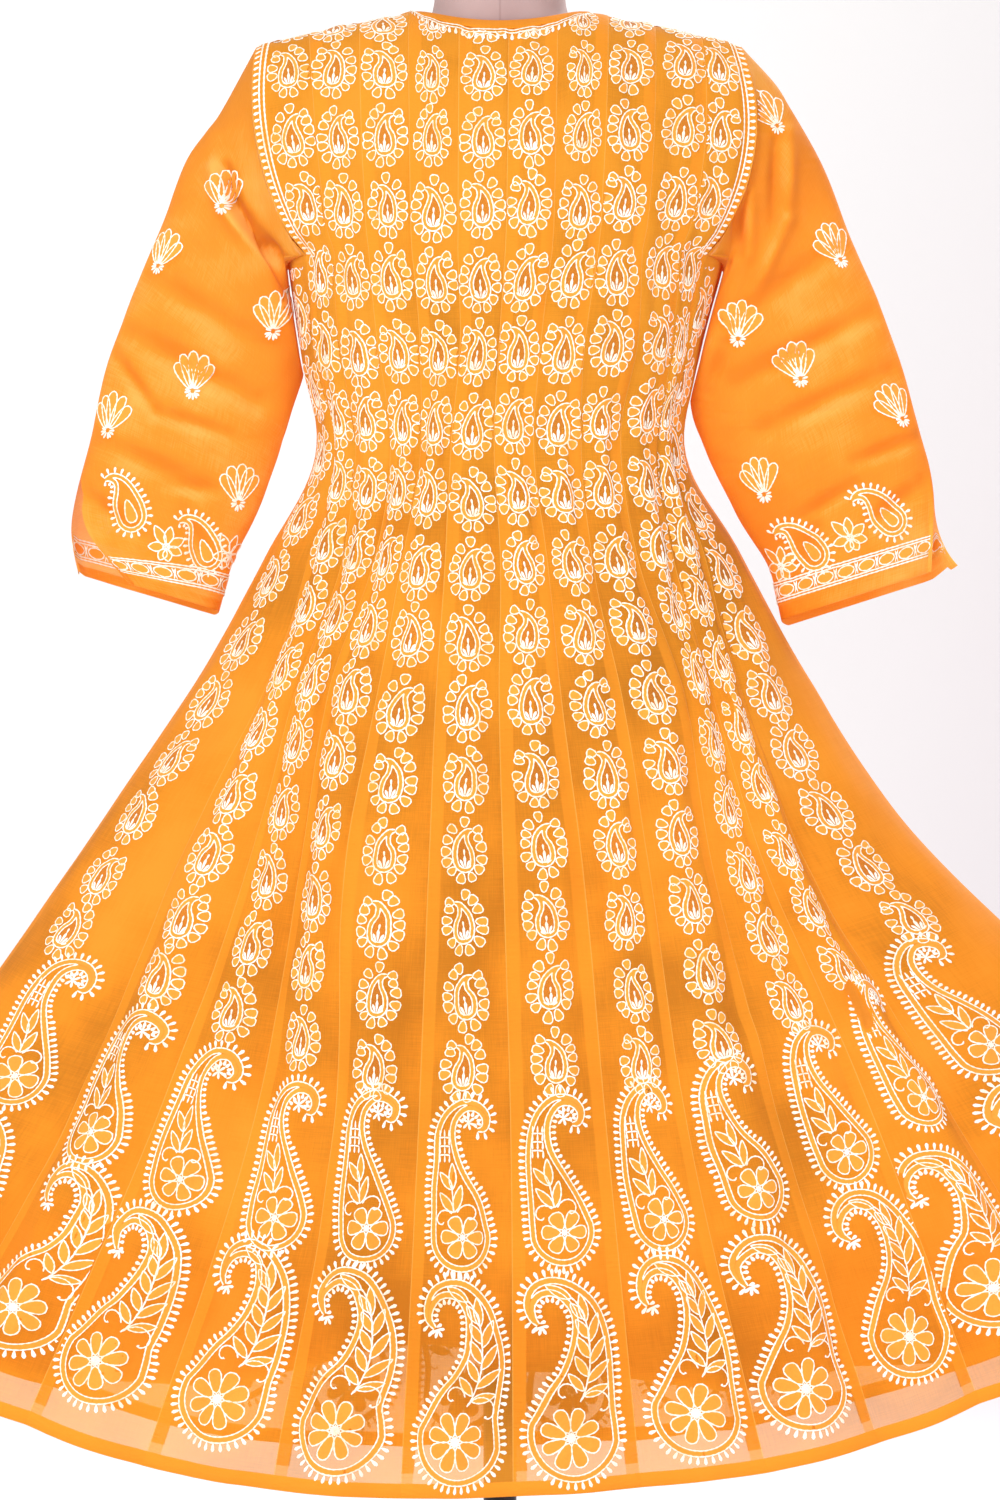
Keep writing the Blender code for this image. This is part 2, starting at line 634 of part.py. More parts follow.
def make_form(skin):
    """The limbless dress form: torso with closed armholes, short neck and flat cap."""
    points, faces = [], []
    quarters = ((-1, -1), (1, -1), (1, 1), (-1, 1))
    loops = []
    for side, face in quarters:
        grid = form_quarter(side, face)
        first = sum(len(block) for block in points)
        rows, columns = grid.shape[:2]
        points.append(grid.reshape(-1, 3))
        faces += [tuple(first + index for index in quad) for quad in grid_faces(rows, columns)]
        loops.append((side, face, grid))
    # The neck: from the neckline in and up to a round column.
    loop = []
    for side, face, grid in loops:
        corner = corner_seam(side, NECK_WIDTH_GORES)
        inside = np.count_nonzero(all_columns(side, ARMHOLE_SEAM) < corner + TINY)
        row = grid[-1, :inside]
        row = row[::-1] if side * face > 0 else row
        loop.append(row[:-1])
    loop = np.concatenate(loop)
    turn = np.arctan2(loop[:, 0], -(loop[:, 1] - NECK_CENTRE))
    neck_x = NECK_HALF_WIDTH * np.sin(turn)
    neck_y = NECK_CENTRE - NECK_HALF_DEPTH * np.cos(turn)
    neck = np.column_stack([neck_x, neck_y, np.full(len(turn), NECK_BASE)])
    rings = [loop]
    for share in NECK_FLARE:
        inward, upward = math.sin(share * math.pi / 2), 1 - math.cos(share * math.pi / 2)
        ring = loop + (neck - loop) * np.array([inward, inward, upward])
        rings.append(ring)
    straight = neck.copy()
    straight[:, 2] = NECK_TOP - NECK_BEVEL
    rings.append(straight)
    cap = straight.copy()
    cap[:, 0] *= 1 - NECK_BEVEL / NECK_HALF_WIDTH
    cap[:, 1] = NECK_CENTRE + (cap[:, 1] - NECK_CENTRE) * (1 - NECK_BEVEL / NECK_HALF_DEPTH)
    cap[:, 2] = NECK_TOP
    rings.append(cap)
    rings = np.stack(rings)
    first = sum(len(block) for block in points)
    rows, columns = rings.shape[:2]
    points.append(rings.reshape(-1, 3))
    faces += [tuple(first + index for index in quad) for quad in grid_faces(rows, columns, closed=True)]
    faces.append(tuple(first + (rows - 1) * columns + index for index in range(columns)))
    obj = make_object("form_torso", np.concatenate(points), faces, skin)
    # The flat bottom and the shoulders' open edges are filled.
    work = bmesh.new()
    work.from_mesh(obj.data)
    open_edges = [edge for edge in work.edges if edge.is_boundary]
    bmesh.ops.holes_fill(work, edges=open_edges, sides=0)
    bmesh.ops.dissolve_degenerate(work, edges=work.edges, dist=MERGE)
    bmesh.ops.recalc_face_normals(work, faces=work.faces)
    work.to_mesh(obj.data)
    work.free()


def make_stand(metal):
    pole_top = FORM_ROWS[-1][0] - SEAM_GAP
    pole_foot = BASE_HEIGHT + SEAM_GAP
    middle = (0, 0, (pole_top + pole_foot) / 2)
    bpy.ops.mesh.primitive_cylinder_add(
        vertices=POLE_SIDES, radius=POLE_RADIUS, depth=pole_top - pole_foot, location=middle
    )
    pole = bpy.context.object
    pole.name = "stand_pole"
    bpy.ops.mesh.primitive_cylinder_add(
        vertices=BASE_SIDES, radius=BASE_RADIUS, depth=BASE_HEIGHT, location=(0, 0, BASE_HEIGHT / 2)
    )
    base = bpy.context.object
    base.name = "stand_base"
    edge = base.modifiers.new("edge", "BEVEL")
    edge.width = BASE_EDGE
    edge.segments = 2
    edge.limit_method = "ANGLE"
    for obj in (pole, base):
        obj.data.materials.append(metal)
        obj.data.shade_smooth()
        obj.data.set_sharp_from_angle(angle=SHARP_ANGLE)
        for other in obj.users_collection:
            other.objects.unlink(obj)
        bpy.data.collections[COLLECTION].objects.link(obj)


def make_material(name, colour, roughness, metallic=0.0):
    material = bpy.data.materials.new(name)
    material.use_nodes = True
    shader = material.node_tree.nodes["Principled BSDF"]
    shader.inputs["Base Color"].default_value = (*colour, 1)
    shader.inputs["Roughness"].default_value = roughness
    shader.inputs["Metallic"].default_value = metallic
    return material


def main():
    for obj in list(bpy.data.objects):
        bpy.data.objects.remove(obj, do_unlink=True)
    collection = bpy.data.collections.new(COLLECTION)
    bpy.context.scene.collection.children.link(collection)
    cloth = make_material("gown_cloth", (0.90, 0.36, 0.03), 0.85)
    lining = make_material("lining_cloth", (0.92, 0.42, 0.08), 0.80)
    skin = make_material("form_cover", (0.58, 0.36, 0.35), 0.90)
    metal = make_material("stand_metal", (0.02, 0.02, 0.02), 0.35, 0.6)
    make_gores(cloth)
    make_lining(lining)
    make_neck_band(cloth)
    make_sleeve(-1, "l", cloth)
    make_sleeve(1, "r", cloth)
    make_form(skin)
    make_stand(metal)


main()
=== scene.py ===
"""Looks of the anarkali gown: cloth with its folds, embroidery in thread, dress form, stand and studio.

Metres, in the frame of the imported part: +Z up, the gown's back faces -Y.
"""

import math

import bpy
import numpy as np
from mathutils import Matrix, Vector


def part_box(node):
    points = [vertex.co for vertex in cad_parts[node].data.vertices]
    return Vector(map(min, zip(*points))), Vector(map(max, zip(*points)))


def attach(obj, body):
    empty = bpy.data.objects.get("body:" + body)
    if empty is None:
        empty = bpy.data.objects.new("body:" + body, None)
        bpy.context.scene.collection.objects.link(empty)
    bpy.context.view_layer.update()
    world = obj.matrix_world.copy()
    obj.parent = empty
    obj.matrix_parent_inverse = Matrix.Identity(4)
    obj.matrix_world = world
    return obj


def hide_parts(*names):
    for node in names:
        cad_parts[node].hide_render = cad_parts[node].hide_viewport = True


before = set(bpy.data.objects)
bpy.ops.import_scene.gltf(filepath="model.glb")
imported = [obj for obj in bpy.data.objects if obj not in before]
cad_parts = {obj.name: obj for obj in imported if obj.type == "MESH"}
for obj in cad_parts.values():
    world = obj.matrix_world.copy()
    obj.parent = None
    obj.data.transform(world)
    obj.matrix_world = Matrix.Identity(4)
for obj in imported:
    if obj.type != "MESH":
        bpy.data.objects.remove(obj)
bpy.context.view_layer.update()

LEFT, RIGHT = -1, 1
BACK, FRONT = -1, 1

# Heights and lengths
WAIST_HEIGHT = 1.116
CHEST_HEIGHT = 1.266
SKIRT_LENGTH = 0.838

# Where each gore seam runs: metres of cloth below the waist, then the distance of seams 0 to 6 from
# the centre plane. Seam 0 is the centre seam, seam 5 ends at the armhole and seam 6 is the side seam.
SEAMS_LEFT = (
    (-0.150, -0.004, 0.034, 0.071, 0.105, 0.133, 0.156, 0.173),
    (-0.075, 0.001, 0.032, 0.064, 0.098, 0.130, 0.150, 0.162),
    (0.000, 0.005, 0.039, 0.064, 0.088, 0.117, 0.134, 0.149),
    (0.100, 0.000, 0.044, 0.078, 0.102, 0.126, 0.153, 0.190),
    (0.210, 0.001, 0.051, 0.098, 0.138, 0.161, 0.187, 0.243),
    (0.335, -0.002, 0.056, 0.121, 0.158, 0.191, 0.244, 0.312),
    (0.545, -0.008, 0.064, 0.130, 0.195, 0.258, 0.325, 0.430),
    (SKIRT_LENGTH, -0.010, 0.078, 0.179, 0.286, 0.369, 0.460, 0.600),
)
SEAMS_RIGHT = (
    (-0.150, 0.004, 0.042, 0.079, 0.114, 0.144, 0.166, 0.183),
    (-0.075, -0.001, 0.033, 0.068, 0.111, 0.140, 0.151, 0.163),
    (0.000, -0.005, 0.027, 0.065, 0.097, 0.126, 0.138, 0.150),
    (0.100, 0.000, 0.038, 0.074, 0.111, 0.141, 0.165, 0.195),
    (0.210, -0.001, 0.049, 0.096, 0.147, 0.169, 0.191, 0.247),
    (0.335, 0.002, 0.065, 0.115, 0.166, 0.202, 0.231, 0.313),
    (0.545, 0.008, 0.084, 0.144, 0.217, 0.282, 0.328, 0.453),
    (SKIRT_LENGTH, 0.010, 0.112, 0.207, 0.300, 0.379, 0.468, 0.605),
)
# The same seams along the neckline and the shoulder seam; the sixth gore starts under the armhole.
SHOULDER_LEFT = (-0.007, 0.033, 0.074, 0.114, 0.155, 0.198)
SHOULDER_RIGHT = (0.007, 0.047, 0.088, 0.126, 0.164, 0.196)
# How far the same seams swing outwards between the chest and the shoulder.
SWING_LEFT = (0.000, 0.000, 0.000, 0.000, 0.000, 0.012)
SWING_RIGHT = (0.000, 0.000, 0.000, 0.002, 0.008, 0.020)
SWING_PEAK = 0.25

# Metres of cloth below the waist, then the half depth of the gown's oval to the back and to the front.
DEPTHS = (
    (-0.150, 0.115, 0.122),
    (-0.075, 0.107, 0.112),
    (0.000, 0.100, 0.102),
    (0.100, 0.116, 0.116),
    (0.210, 0.130, 0.130),
    (0.335, 0.142, 0.142),
    (0.545, 0.158, 0.158),
    (SKIRT_LENGTH, 0.175, 0.175),
)

# Distance from the centre plane, then the height of the shoulder ridge there.
RIDGE = (
    (0.000, 1.4670),
    (0.050, 1.4670),
    (0.072, 1.4665),
    (0.130, 1.4550),
    (0.185, 1.4430),
    (0.200, 1.4370),
)
SHOULDER_ROUND = 2 / 2.4
SHOULDER_SPREAD = 0.6

# Neckline: half width, and the angle up the shoulder's curve where its back and front middles lie,
# along the gores' top edges and along the finished edge of the neck band.
NECK_WIDTH_GORES = 0.074
NECK_WIDTH_BAND = 0.065
NECK_BACK_GORES = math.radians(62.0)
NECK_BACK_BAND = math.radians(68.5)
NECK_FRONT_GORES = math.radians(36.5)
NECK_FRONT_BAND = math.radians(40.5)

# How much shorter each seam hangs than the centre one, as a share of its length: seams 0 to 6.
HEM_LIFT_LEFT = (0.000, -0.003, -0.006, -0.005, 0.008, 0.018, 0.020)
HEM_LIFT_RIGHT = (0.000, 0.003, 0.005, 0.015, 0.031, 0.039, 0.040)

# What a gore was cut to: metres below the waist, then its width.
CUT_WIDTHS = ((-0.150, 0.045), (0.000, 0.038), (SKIRT_LENGTH, 0.108))
# Cloth that the oval can't take up stands off it in a soft flute, no higher than this.
FLUTE_AT_WAIST = 0.004
FLUTE_AT_HEM = 0.010
# A flute takes this share of half the spare width, and fades in over this length above the waist.
FLUTE_SHARE = 0.5
FLUTE_FADE = 0.10

# The skirt's larger folds: side (-1 left), face (-1 back), seam number, height at the hem, half width
# in gores, and how far below the waist it starts.
FOLDS = (
    (-1, -1, 1.5, 0.008, 0.50, 0.16),
    (-1, -1, 2.9, -0.009, 0.45, 0.05),
    (-1, -1, 4.2, 0.012, 0.55, 0.10),
    (-1, -1, 5.3, -0.010, 0.45, 0.25),
    (1, -1, 0.8, -0.007, 0.50, 0.20),
    (1, -1, 2.2, 0.009, 0.55, 0.12),
    (1, -1, 3.4, -0.010, 0.45, 0.05),
    (1, -1, 4.6, 0.012, 0.50, 0.15),
    (-1, 1, 0.9, 0.010, 0.50, 0.10),
    (-1, 1, 2.4, -0.009, 0.50, 0.20),
    (-1, 1, 3.8, 0.011, 0.55, 0.08),
    (-1, 1, 5.1, -0.008, 0.45, 0.25),
    (1, 1, 1.3, -0.009, 0.50, 0.15),
    (1, 1, 2.7, 0.010, 0.50, 0.10),
    (1, 1, 4.1, -0.009, 0.55, 0.20),
    (1, 1, 5.2, 0.009, 0.45, 0.12),
)

# A fold grows with this power of the way down to the hem.
FOLD_GROWTH = 0.8

GORES = 6
ARMHOLE_SEAM = 5
# Steps in which a line down the cloth is measured
PATH_STEPS = 49

# Sleeves: X and Z of the outer edge, X and Z of the inner edge, half depth, all on the left; then the
# same on the right. The first ring is the armhole itself.
SLEEVE_LEFT = (
    (0.226, 1.388, 0.1735, 1.234, 0.040),
    (0.251, 1.352, 0.1680, 1.206, 0.038),
    (0.274, 1.298, 0.1655, 1.177, 0.036),
    (0.300, 1.234, 0.1725, 1.140, 0.035),
    (0.319, 1.179, 0.1810, 1.102, 0.034),
    (0.335, 1.116, 0.2010, 1.055, 0.033),
    (0.348, 1.050, 0.2185, 1.014, 0.031),
    (0.343, 1.015, 0.2285, 0.981, 0.029),
)
SLEEVE_RIGHT = (
    (0.223, 1.410, 0.1760, 1.230, 0.040),
    (0.248, 1.369, 0.1670, 1.194, 0.038),
    (0.274, 1.314, 0.1590, 1.158, 0.036),
    (0.298, 1.254, 0.1630, 1.121, 0.035),
    (0.319, 1.201, 0.1755, 1.092, 0.034),
    (0.336, 1.148, 0.1935, 1.058, 0.033),
    (0.350, 1.088, 0.2165, 1.0175, 0.031),
    (0.355, 1.014, 0.2295, 0.974, 0.029),
)

CHEST_DROP = -0.150
QUARTER_TURN = math.pi / 2
# The back and front stay this far from the plane between them.
RIDGE_HALF_GAP = 0.0001
# Above this height, outward also means up.
TOP_TURN_HEIGHT = 1.36
TOP_TURN_RATE = 4
MERGE = 1e-6
TINY = 1e-9
# Keeps a place on a grid just inside its last cell.
INSIDE_GRID = 1.0001
INSIDE_TABLE = 1.001


def smooth_table(rows, at):
    """Each column of rows at the places given, on Catmull-Rom curves through the rows."""
    rows = np.array(rows)
    places = rows[:, 0]
    values = rows[:, 1:]
    slopes = np.gradient(values, places, axis=0)
    at = np.clip(np.asarray(at, float), places[0], places[-1])
    index = np.clip(np.searchsorted(places, at, side="right") - 1, 0, len(places) - 2)
    step = (places[index + 1] - places[index])[..., None]
    part = ((at - places[index])[..., None]) / step
    start, end = values[index], values[index + 1]
    rise, fall = slopes[index] * step, slopes[index + 1] * step
    return (
        start * (2 * part**3 - 3 * part**2 + 1)
        + rise * (part**3 - 2 * part**2 + part)
        + end * (3 * part**2 - 2 * part**3)
        + fall * (part**3 - part**2)
    )


def across(table, seam):
    """Values of table's last axis, one for each seam, at a seam number that need not be whole."""
    index = np.clip(np.floor(seam).astype(int), 0, table.shape[-1] - 2)
    part = seam - index
    low = np.take_along_axis(table, index[..., None], -1)[..., 0]
    high = np.take_along_axis(table, index[..., None] + 1, -1)[..., 0]
    return low + (high - low) * part


def lengths_along(line):
    """The distance of each point of a line from its first, along the line."""
    return np.concatenate([[0], np.cumsum(np.linalg.norm(np.diff(line, axis=0), axis=1))])


def cut_width(drop):
    """The width that a gore was cut to."""
    return np.interp(drop, *np.transpose(CUT_WIDTHS))


def seams_at(side, drop):
    """The distance of every seam from the centre plane, at a drop."""
    return smooth_table(SEAMS_LEFT if side < 0 else SEAMS_RIGHT, drop)


def around(side, seam, drop):
    """Half width of the gown, and the angle round its oval from the centre plane, at a seam and a drop."""
    seams = seams_at(side, drop)
    half_width = seams[..., -1]
    angles = np.arcsin(np.clip(seams / half_width[..., None], -1, 1))
    return half_width, across(angles, seam)


def flute(side, seam, drop, depth):
    """How far a gore's middle stands off the oval, from the width that it was cut to."""
    seams = seams_at(side, drop)
    index = np.clip(np.floor(seam).astype(int), 0, GORES - 1)
    low = np.take_along_axis(seams, index[..., None], -1)[..., 0]
    high = np.take_along_axis(seams, index[..., None] + 1, -1)[..., 0]
    half_width = seams[..., -1]
    rise = depth * (
        np.sqrt(np.clip(1 - (low / half_width) ** 2, 0, 1))
        - np.sqrt(np.clip(1 - (high / half_width) ** 2, 0, 1))
    )
    taken = np.hypot(high - low, rise)
    spare = np.sqrt(np.clip(cut_width(drop) ** 2 - taken**2, 0, None)) / 2
    highest = np.interp(drop, (0, SKIRT_LENGTH), (FLUTE_AT_WAIST, FLUTE_AT_HEM))
    fade_in = np.clip(drop / FLUTE_FADE + 1, 0, 1)
    height = np.minimum(spare * FLUTE_SHARE, highest) * fade_in
    return height * np.sin(math.pi * (seam - index)) ** 2


def fold(side, face, seam, drop):
    """The larger folds' distance from the oval."""
    total = np.zeros_like(drop)
    for fold_side, fold_face, middle, height, half_width, top in FOLDS:
        if fold_face != face:
            continue
        distance = (seam * side - middle * fold_side) / half_width
        growth = np.clip((drop - top) / (SKIRT_LENGTH - top), 0, 1) ** FOLD_GROWTH
        total = total + height * growth * np.exp(-(distance**2))
    still = np.clip(GORES - seam, 0, 1)
    return total * still


def oval_point(side, face, seam, drop):
    """X and Y of the cloth's outer face at or below the chest."""
    half_width, angle = around(side, seam, drop)
    depths = smooth_table(DEPTHS, drop)
    depth = depths[..., 0] if face < 0 else depths[..., 1]
    off = flute(side, seam, drop, depth) + fold(side, face, seam, drop)
    x = side * (half_width * np.sin(angle) + off * np.sin(angle) * np.sign(seam))
    y = face * (depth + off) * np.cos(angle)
    return x, y


def body_point(side, face, seam, drop):
    """The cloth's outer face from the chest down: drop is cloth below the waist, or height above it."""
    seam, drop = np.broadcast_arrays(np.asarray(seam, float), np.asarray(drop, float))
    x, y = oval_point(side, face, seam, drop)
    steps = np.linspace(0, 1, PATH_STEPS).reshape((PATH_STEPS,) + (1,) * drop.ndim)
    lift = np.interp(seam, range(GORES + 1), HEM_LIFT_LEFT if side < 0 else HEM_LIFT_RIGHT)
    below = np.clip(drop, 0, None)
    below = below * (1 - lift * below / SKIRT_LENGTH) * steps
    path_x, path_y = oval_point(side, face, np.broadcast_to(seam, below.shape), below)
    run = np.hypot(np.diff(path_x, axis=0), np.diff(path_y, axis=0))
    fall = np.sqrt(np.clip(np.diff(below, axis=0) ** 2 - run**2, 0, None)).sum(axis=0)
    z = WAIST_HEIGHT - np.minimum(drop, 0) - fall
    return np.stack([x, y, z], axis=-1)


def yoke_point(side, face, seam, climb):
    """The cloth's outer face above the chest: climb is an angle, 0 at the chest, 90 degrees on the ridge."""
    seam, climb = np.broadcast_arrays(np.asarray(seam, float), np.asarray(climb, float))
    chest = np.full(seam.shape, CHEST_DROP)
    half_width, angle = around(side, seam, chest)
    ends = np.array((SHOULDER_LEFT, SWING_LEFT) if side < 0 else (SHOULDER_RIGHT, SWING_RIGHT))
    top, swing = np.column_stack([ends, ends[:, -1]])
    lift = np.sin(climb) ** SHOULDER_ROUND
    lean = np.cos(climb) ** SHOULDER_ROUND
    spread = lift**SHOULDER_SPREAD
    x = half_width * np.sin(angle)
    x = x + (across(np.broadcast_to(top, seam.shape + top.shape), seam) - x) * spread
    bulge = lift * (1 - lift) / SWING_PEAK
    x = x + across(np.broadcast_to(swing, seam.shape + swing.shape), seam) * bulge
    depth = DEPTHS[0][1] if face < 0 else DEPTHS[0][2]
    y = face * depth * np.cos(angle) * lean
    z = CHEST_HEIGHT + (np.interp(np.abs(x), *np.transpose(RIDGE)) - CHEST_HEIGHT) * lift
    return np.stack([side * x, y, z], axis=-1)


def corner_seam(side, half_width):
    """The seam number where the neckline meets the shoulder seam."""
    top = SHOULDER_LEFT if side < 0 else SHOULDER_RIGHT
    return float(np.interp(half_width, top, range(len(top))))


def neckline(x, half_width, lowest):
    """How far up the shoulder's curve the neckline lies at a distance from the centre plane."""
    dip = np.sqrt(np.clip(1 - (x / half_width) ** 2, 0, 1))
    return QUARTER_TURN - (QUARTER_TURN - lowest) * dip


def neck_climb(side, seam, half_width, lowest):
    """The same at a seam number: on the ridge beyond the neckline's corner."""
    top = SHOULDER_LEFT if side < 0 else SHOULDER_RIGHT
    return neckline(np.interp(seam, range(len(top)), top), half_width, lowest)


def outward_from(points):
    """A rough outward direction: away from the vertical axis, and up on top of the shoulders."""
    out = points.copy()
    out[..., 2] = np.clip(points[..., 2] - TOP_TURN_HEIGHT, 0, None) * TOP_TURN_RATE
    return out


# ---------------------------------------------------------------- the gown's surface as a dense grid

# Shares of a gore's width where its columns of points stand; the outer ones shape the seam's groove.
COLUMN_SHARES = (0, 0.014, 0.04, 0.12, 0.22, 0.32, 0.41, 0.5, 0.59, 0.68, 0.78, 0.88, 0.96, 0.986)
GORE_COLUMNS = len(COLUMN_SHARES)
YOKE_STEPS = 26
BODICE_STEPS = 16
SKIRT_STEPS = 88
SEAM_GROOVE = (0.0003, 0.0001)
HEIGHT_STEP = 0.002

# Soft creases as troughs (or ridges where the depth is negative), in the plane of the back or front:
# X and Z of one end, X and Z of the other, half width, depth.
CREASES_BACK = (
    (-0.082, 1.150, -0.060, 1.060, 0.006, 0.0030),
    (-0.066, 1.120, -0.085, 1.010, 0.005, 0.0022),
    (-0.104, 1.140, -0.098, 0.990, 0.008, 0.0026),
    (0.132, 1.090, 0.150, 0.900, 0.008, 0.0032),
    (0.158, 1.060, 0.186, 0.860, 0.007, 0.0030),
    (0.178, 1.030, 0.222, 0.880, 0.008, -0.0030),
    (0.150, 0.665, 0.330, 0.652, 0.010, 0.0020),
    (0.170, 0.640, 0.300, 0.625, 0.008, -0.0014),
    (-0.150, 0.700, -0.010, 0.690, 0.012, 0.0014),
    (0.012, 1.300, 0.010, 1.060, 0.007, 0.0022),
    (-0.120, 1.330, -0.060, 1.250, 0.010, 0.0018),
    (0.060, 1.350, 0.120, 1.250, 0.012, 0.0016),
    (0.140, 1.220, 0.100, 1.140, 0.010, 0.0020),
    (-0.150, 1.230, -0.110, 1.150, 0.010, 0.0022),
    (-0.210, 0.840, -0.250, 0.620, 0.016, 0.0040),
    (-0.120, 0.920, -0.150, 0.660, 0.014, -0.0030),
    (0.250, 0.800, 0.300, 0.560, 0.016, 0.0040),
    (0.060, 0.900, 0.072, 0.620, 0.014, 0.0030),
    (-0.030, 0.800, -0.036, 0.560, 0.013, 0.0024),
    (0.170, 0.560, 0.200, 0.360, 0.018, 0.0040),
    (-0.210, 0.560, -0.240, 0.360, 0.018, -0.0035),
    (-0.370, 0.620, -0.470, 0.430, 0.018, 0.0040),
    (0.380, 0.640, 0.480, 0.450, 0.018, -0.0040),
)
CREASES_FRONT = (
    (-0.090, 1.140, -0.070, 1.030, 0.007, 0.0028),
    (0.080, 1.150, 0.062, 1.050, 0.006, 0.0026),
    (0.110, 1.120, 0.124, 0.960, 0.008, 0.0030),
    (-0.124, 1.130, -0.150, 0.930, 0.009, 0.0028),
    (0.030, 1.330, 0.060, 1.220, 0.012, 0.0018),
    (-0.050, 1.340, -0.090, 1.240, 0.012, 0.0020),
    (0.150, 1.240, 0.110, 1.170, 0.010, 0.0022),
    (-0.150, 1.250, -0.100, 1.180, 0.010, 0.0020),
    (-0.160, 0.680, 0.020, 0.670, 0.011, 0.0016),
    (0.190, 0.700, 0.320, 0.690, 0.010, 0.0018),
    (0.220, 0.830, 0.262, 0.600, 0.016, 0.0040),
    (-0.180, 0.850, -0.230, 0.600, 0.015, -0.0032),
    (0.020, 0.860, 0.028, 0.580, 0.014, 0.0028),
    (-0.070, 0.700, -0.084, 0.440, 0.016, 0.0036),
    (0.130, 0.600, 0.150, 0.380, 0.018, -0.0036),
    (-0.350, 0.640, -0.450, 0.440, 0.018, 0.0040),
    (0.370, 0.620, 0.470, 0.430, 0.018, 0.0036),
)
# A crease is even between these shares of its length, and tapers towards its ends with this power.
CREASE_EVEN = (0.12, 0.88)
CREASE_TAPER = 0.7
# Faint unevenness all over: waves across a gore, waves per metre down it, phase, depth.
RUMPLES = (
    (1.3, 9.0, 0.4, 0.0006),
    (2.1, -6.5, 2.2, 0.0005),
    (0.6, 15.0, 4.4, 0.0004),
    (3.4, 4.0, 1.1, 0.0003),
)
# The share of a height that shifts the waves, and how fast they die out before the side seam.
RUMPLE_SLANT = 0.3
RUMPLE_STILL = 4
# The tallest yoke in the table of its rows.
YOKE_REACH = 0.30
# Stitches lie this far off the cloth.
LIFT = 0.0002
SLEEVE_LIFT = 0.0004


def creased(points, creases):
    """How deep the creases are at each point."""
    depth = np.zeros(points.shape[:-1])
    for x0, z0, x1, z1, half_width, fall in creases:
        along = np.array([x1 - x0, z1 - z0])
        offset = points[..., (0, 2)] - (x0, z0)
        part = np.clip(offset @ along / (along @ along), 0, 1)
        distance = np.linalg.norm(offset - part[..., None] * along, axis=-1)
        taper = np.sin(math.pi * np.clip(part, *CREASE_EVEN)) ** CREASE_TAPER
        depth = depth + fall * taper * np.exp(-((distance / half_width) ** 2))
    return depth


def grid_normals(points, outward):
    """Unit normals of a grid of points, on the side that outward points to."""
    down = np.gradient(points, axis=0)
    along = np.gradient(points, axis=1)
    normal = np.cross(along, down)
    normal /= np.linalg.norm(normal, axis=-1, keepdims=True) + TINY
    facing = (normal * outward).sum(axis=-1, keepdims=True)
    return normal * np.where(facing < 0, -1, 1)


def bilinear(grid, row, column):
    """Values between the corners of a grid's cells."""
    i, j = np.floor(row).astype(int), np.floor(column).astype(int)
    s, t = (row - i)[..., None], (column - j)[..., None]
    near = grid[i, j] * (1 - t) + grid[i, j + 1] * t
    far = grid[i + 1, j] * (1 - t) + grid[i + 1, j + 1] * t
    return near * (1 - s) + far * s


class Surface:
    """Cloth as a dense grid of points with their normals."""

    def at(self, row, column, lift):
        """Points on the cloth, lifted off it."""
        row = np.clip(row, 0, self.points.shape[0] - INSIDE_GRID)
        column = np.clip(column, 0, self.points.shape[1] - INSIDE_GRID)
        return bilinear(self.points, row, column) + bilinear(self.normals, row, column) * lift[..., None]


